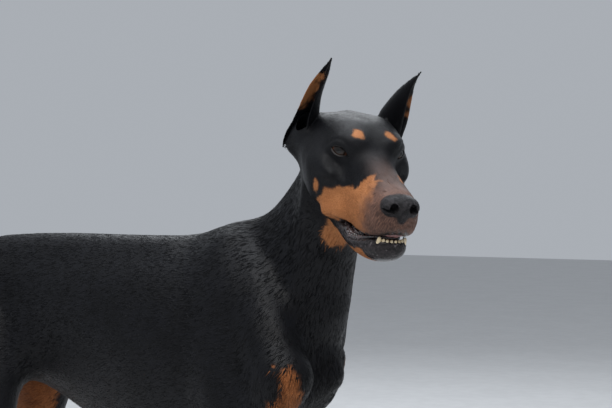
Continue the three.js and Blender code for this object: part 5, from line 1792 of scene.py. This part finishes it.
# Each hue is a dark and a light shade; the coat's streaks are a length and a width in metres
hues = {
    "black": [(0.0017, 0.0018, 0.0024), (0.0058, 0.0061, 0.0080)],
    "tan": [(0.21, 0.074, 0.024), (0.40, 0.168, 0.066)],
    # The darker tan is painted shade, used low on the breast and legs
    "shadedTan": [(0.13, 0.04, 0.011), (0.29, 0.105, 0.035)],
    "brown": [(0.050, 0.027, 0.021), (0.165, 0.088, 0.064)],
    "leather": [(0.010, 0.0095, 0.0105), (0.034, 0.031, 0.034)],
    "lip": [(0.010, 0.0092, 0.0098), (0.032, 0.027, 0.029)],
    "mouth": [(0.055, 0.014, 0.014), (0.16, 0.046, 0.042)],
    "pad": [(0.012, 0.011, 0.0105), (0.03, 0.027, 0.025)],
    # Pale flecks on the lips: partly saliva, partly a painted wet highlight
    "lipSalivaGlint": (0.30, 0.27, 0.28),
}
coatLook = {"body": (0.011, 0.0011), "face": (0.0055, 0.0007), "clouds": 0.035, "shine": 0.14,
            "shadedTanBelow": (0.60, 0.72)}
# Roughness of the coat by its shade, then of tan hair, nose, lips, mouth and pads
roughness = {"dark": 0.50, "tan": 0.58, "leather": 0.36, "lip": 0.26, "mouth": 0.3, "pad": 0.75}


def shadeOf(f, hair):
    return f.step(hair * 0.65 + f.noise(coatLook["clouds"], 3) * 0.35, 0.34, 0.68)


# The marked coat's colour: black, tan with painted shade that makes it darker low on legs and breast, and
# brown
def markedColour(f, shade, marks):
    tan, brown = marks[:2]
    black = f.tint(shade, *hues["black"])
    height = f.node("ShaderNodeSeparateXYZ", {}, {"Vector": f.place}, "Z")
    # Painted shade: tan below this height is darkened towards the darker tan
    low = f.step(height, *coatLook["shadedTanBelow"])
    rust = f.tint(low, f.tint(shade, *hues["shadedTan"]), f.tint(shade, *hues["tan"]))
    colour = f.tint(tan, black, rust)
    return f.tint(brown, colour, f.tint(shade, *hues["brown"]))


def skinFinish():
    f = Finish("dogSkin")
    head, neck, down = f.painted("lie")
    marks = f.painted("marks")
    tan, brown, leather = marks
    lip, mouth, pad = f.painted("wet")
    hair = f.streaks(trunkWay, *coatLook["body"])
    for share, way, size in ((head, faceWay, "face"), (neck, neckLie, "body"), (down, downWay, "body")):
        hair = hair + (f.streaks(way, *coatLook[size]) - hair) * share
    clouds = f.noise(coatLook["clouds"], 3)
    shade = shadeOf(f, hair)
    colour = markedColour(f, shade, marks)
    grain = f.noise(0.0035, 3)
    cells = {"Vector": f.place, "Scale": 850.0}
    pebbles = f.node("ShaderNodeTexVoronoi", {"feature": "DISTANCE_TO_EDGE"}, cells)
    worn = f.step(grain * 0.7 + clouds * 0.3, 0.38, 0.66)
    # Pale flecks on the lips, partly saliva and partly a painted wet highlight
    salivaGlints = f.step(f.noise(0.0042, 3, rough=0.7), 0.6, 0.66)
    glintFleckedLip = f.tint(salivaGlints * 0.26, f.tint(worn, *hues["lip"]), hues["lipSalivaGlint"])
    colour = f.tint(leather, colour, f.tint(worn, *hues["leather"]))
    colour = f.tint(lip, colour, glintFleckedLip)
    colour = f.tint(mouth, colour, f.tint(worn, *hues["mouth"]))
    colour = f.tint(pad, colour, f.tint(worn, *hues["pad"]))
    rough = roughness["dark"] - 0.16 * shade
    for share, name in ((tan, "tan"), (leather, "leather"), (lip, "lip"), (mouth, "mouth"), (pad, "pad")):
        rough = rough + (roughness[name] - rough) * share
    bare = 1 - (1 - leather) * (1 - lip) * (1 - mouth) * (1 - pad)
    height = hair * (1 - bare) + f.step(pebbles, 0.0, 0.3) * (leather + pad * 0.6) * 0.8 + grain * bare * 0.7
    changing = {"Base Color": colour, "Roughness": rough}
    return f.surface({"Specular IOR Level": coatLook["shine"]}, changing, height, 0.0006)


# The tufts' own shade varies from lock to lock
def coatFinish():
    f = Finish("dogCoat")
    marks = f.painted("marks")
    lock = f.painted("lock")[0]
    shade = shadeOf(f, 0.5 + (lock - 0.5) * 0.4)
    rough = roughness["dark"] - 0.14 * shade + 0.12 * marks[0]
    changing = {"Base Color": markedColour(f, shade, marks), "Roughness": rough}
    return f.surface({"Specular IOR Level": coatLook["shine"]}, changing, f.noise(0.0012, 2), 0.0002)


def eyeFinish():
    f = Finish("eyeball")
    flat, up = f.painted("gaze")[:2]
    # Painted light: the lower part of the iris is made lighter, as if lit through the cornea
    lower = f.step(up, 0.5, 0.28)
    rays = f.step(f.noise(0.0011, 3) + 0.3 * lower, 0.35, 0.8)
    iris = f.tint(rays, eyeLook["dark"], eyeLook["ray"])
    iris = f.tint(lower * 0.55, iris, eyeLook["lowerLitIris"])
    iris = f.tint(f.step(flat, *eyeLook["irisRim"]), iris, eyeLook["rim"])
    white = f.tint(f.noise(0.002, 3), *eyeLook["white"])
    colour = f.tint(f.step(flat, *eyeLook["iris"]), iris, white)
    colour = f.tint(f.step(flat, *eyeLook["pupil"]), colour, eyeLook["black"])
    gloss = {"Roughness": 0.6, "Coat Weight": 0.6, "Coat Roughness": 0.02, "Specular IOR Level": 0.1}
    return f.surface(gloss, {"Base Color": colour})


# A plain finish whose colour, roughness and relief come from noise
def finishOf(name, low, high, size, rough, coat=0.0, depth=0.0003):
    f = Finish(name)
    grain = f.noise(size, 4)
    shade = f.step(grain * 0.6 + f.noise(size * 5, 2) * 0.4, 0.36, 0.66)
    changing = {"Base Color": f.tint(shade, low, high), "Roughness": rough + 0.12 * (grain - 0.5)}
    return f.surface({"Coat Weight": coat, "Coat Roughness": 0.06}, changing, grain, depth)


wear(skin, skinFinish())
coatMaterial, eyeMaterial = coatFinish(), eyeFinish()
for coat in coats:
    wear(coat, coatMaterial)
for eye in eyes:
    wear(eye, eyeMaterial)
# Dark and light shade, size of the grain, roughness, wetness and depth of the relief
smallFinishes = {
    "lidEdges": ((0.004, 0.0034, 0.0034), (0.014, 0.010, 0.010), 0.0012, 0.6),
    "tearCorners": ((0.06, 0.02, 0.02), (0.18, 0.07, 0.06), 0.001, 0.25, 0.8),
    "gums": ((0.05, 0.012, 0.013), (0.21, 0.07, 0.062), 0.005, 0.3, 0.5, 0.0006),
    "lipFolds": ((0.010, 0.009, 0.010), (0.07, 0.045, 0.045), 0.003, 0.22, 0.7, 0.0005),
    "teeth": ((0.42, 0.31, 0.16), (0.74, 0.64, 0.46), 0.004, 0.25, 0.4, 0.0001),
    "tongue": ((0.22, 0.05, 0.05), (0.42, 0.15, 0.13), 0.0025, 0.35, 0.4, 0.0004),
    "claws": ((0.010, 0.0095, 0.009), (0.036, 0.032, 0.028), 0.0022, 0.36, 0.1, 0.0001),
}
for name, pieces in (("lidEdges", [lidRims]), ("tearCorners", [tearCorners]), ("gums", [gums]),
                     ("lipFolds", [lipFolds]), ("teeth", [teeth]), ("tongue", [tongue]), ("claws", claws)):
    material = finishOf(name, *smallFinishes[name])
    for piece in pieces:
        wear(piece, material)
print("materials made")

# Floor, light and camera
bpy.ops.mesh.primitive_plane_add(size=30, location=(0, 0, 0))
floor = bpy.context.object
floor.name = "floor"
wear(floor, finishOf("floor", (0.58, 0.585, 0.59), (0.62, 0.625, 0.63), 0.05, 0.8, 0.0, 0.0))

lamps = {
    "overhead": {"at": (0.2, -0.2, 3.0), "aim": (0.1, 0, 0.5), "size": 2.8, "power": 80,
                 "colour": (0.93, 0.96, 1.0)},
    "side": {"at": (1.0, -2.6, 3.3), "aim": (0.4, -0.1, 0.6), "size": 1.5, "power": 85,
             "colour": (1.0, 0.97, 0.93)},
    "rear": {"at": (-1.4, 2.6, 2.9), "aim": (0, 0, 0.6), "size": 2.4, "power": 42,
             "colour": (0.92, 0.96, 1.0)},
}
for name, lamp in lamps.items():
    lightData = bpy.data.lights.new(name, "AREA")
    lightData.size = lamp["size"]
    lightData.energy = lamp["power"]
    lightData.color = lamp["colour"]
    light = bpy.data.objects.new(name, lightData)
    bpy.context.collection.objects.link(light)
    light.location = lamp["at"]
    light.rotation_euler = (Vector(lamp["aim"]) - Vector(lamp["at"])).to_track_quat("-Z", "Y").to_euler()

world = bpy.data.worlds.new("studio")
bpy.context.scene.world = world
world.use_nodes = True
background = world.node_tree.nodes["Background"]
background.inputs["Color"].default_value = (0.80, 0.85, 0.92, 1)
background.inputs["Strength"].default_value = 0.5
bpy.context.scene.view_settings.view_transform = "Standard"

# The camera's place in the trunk's frame and its level view, as fitted to the photograph
cameraPlace = {"at": (1353.2, -1432.1, 726), "way": (-0.588, 0.809, 0), "lens": 79.41, "sensor": 36}
cameraData = bpy.data.cameras.new("camera")
camera = bpy.data.objects.new("camera", cameraData)
bpy.context.collection.objects.link(camera)
cameraData.lens = cameraPlace["lens"]
cameraData.sensor_width = cameraPlace["sensor"]
camera.location = toMetres(cameraPlace["at"])
camera.rotation_euler = Vector(cameraPlace["way"]).to_track_quat("-Z", "Y").to_euler()
bpy.context.scene.camera = camera
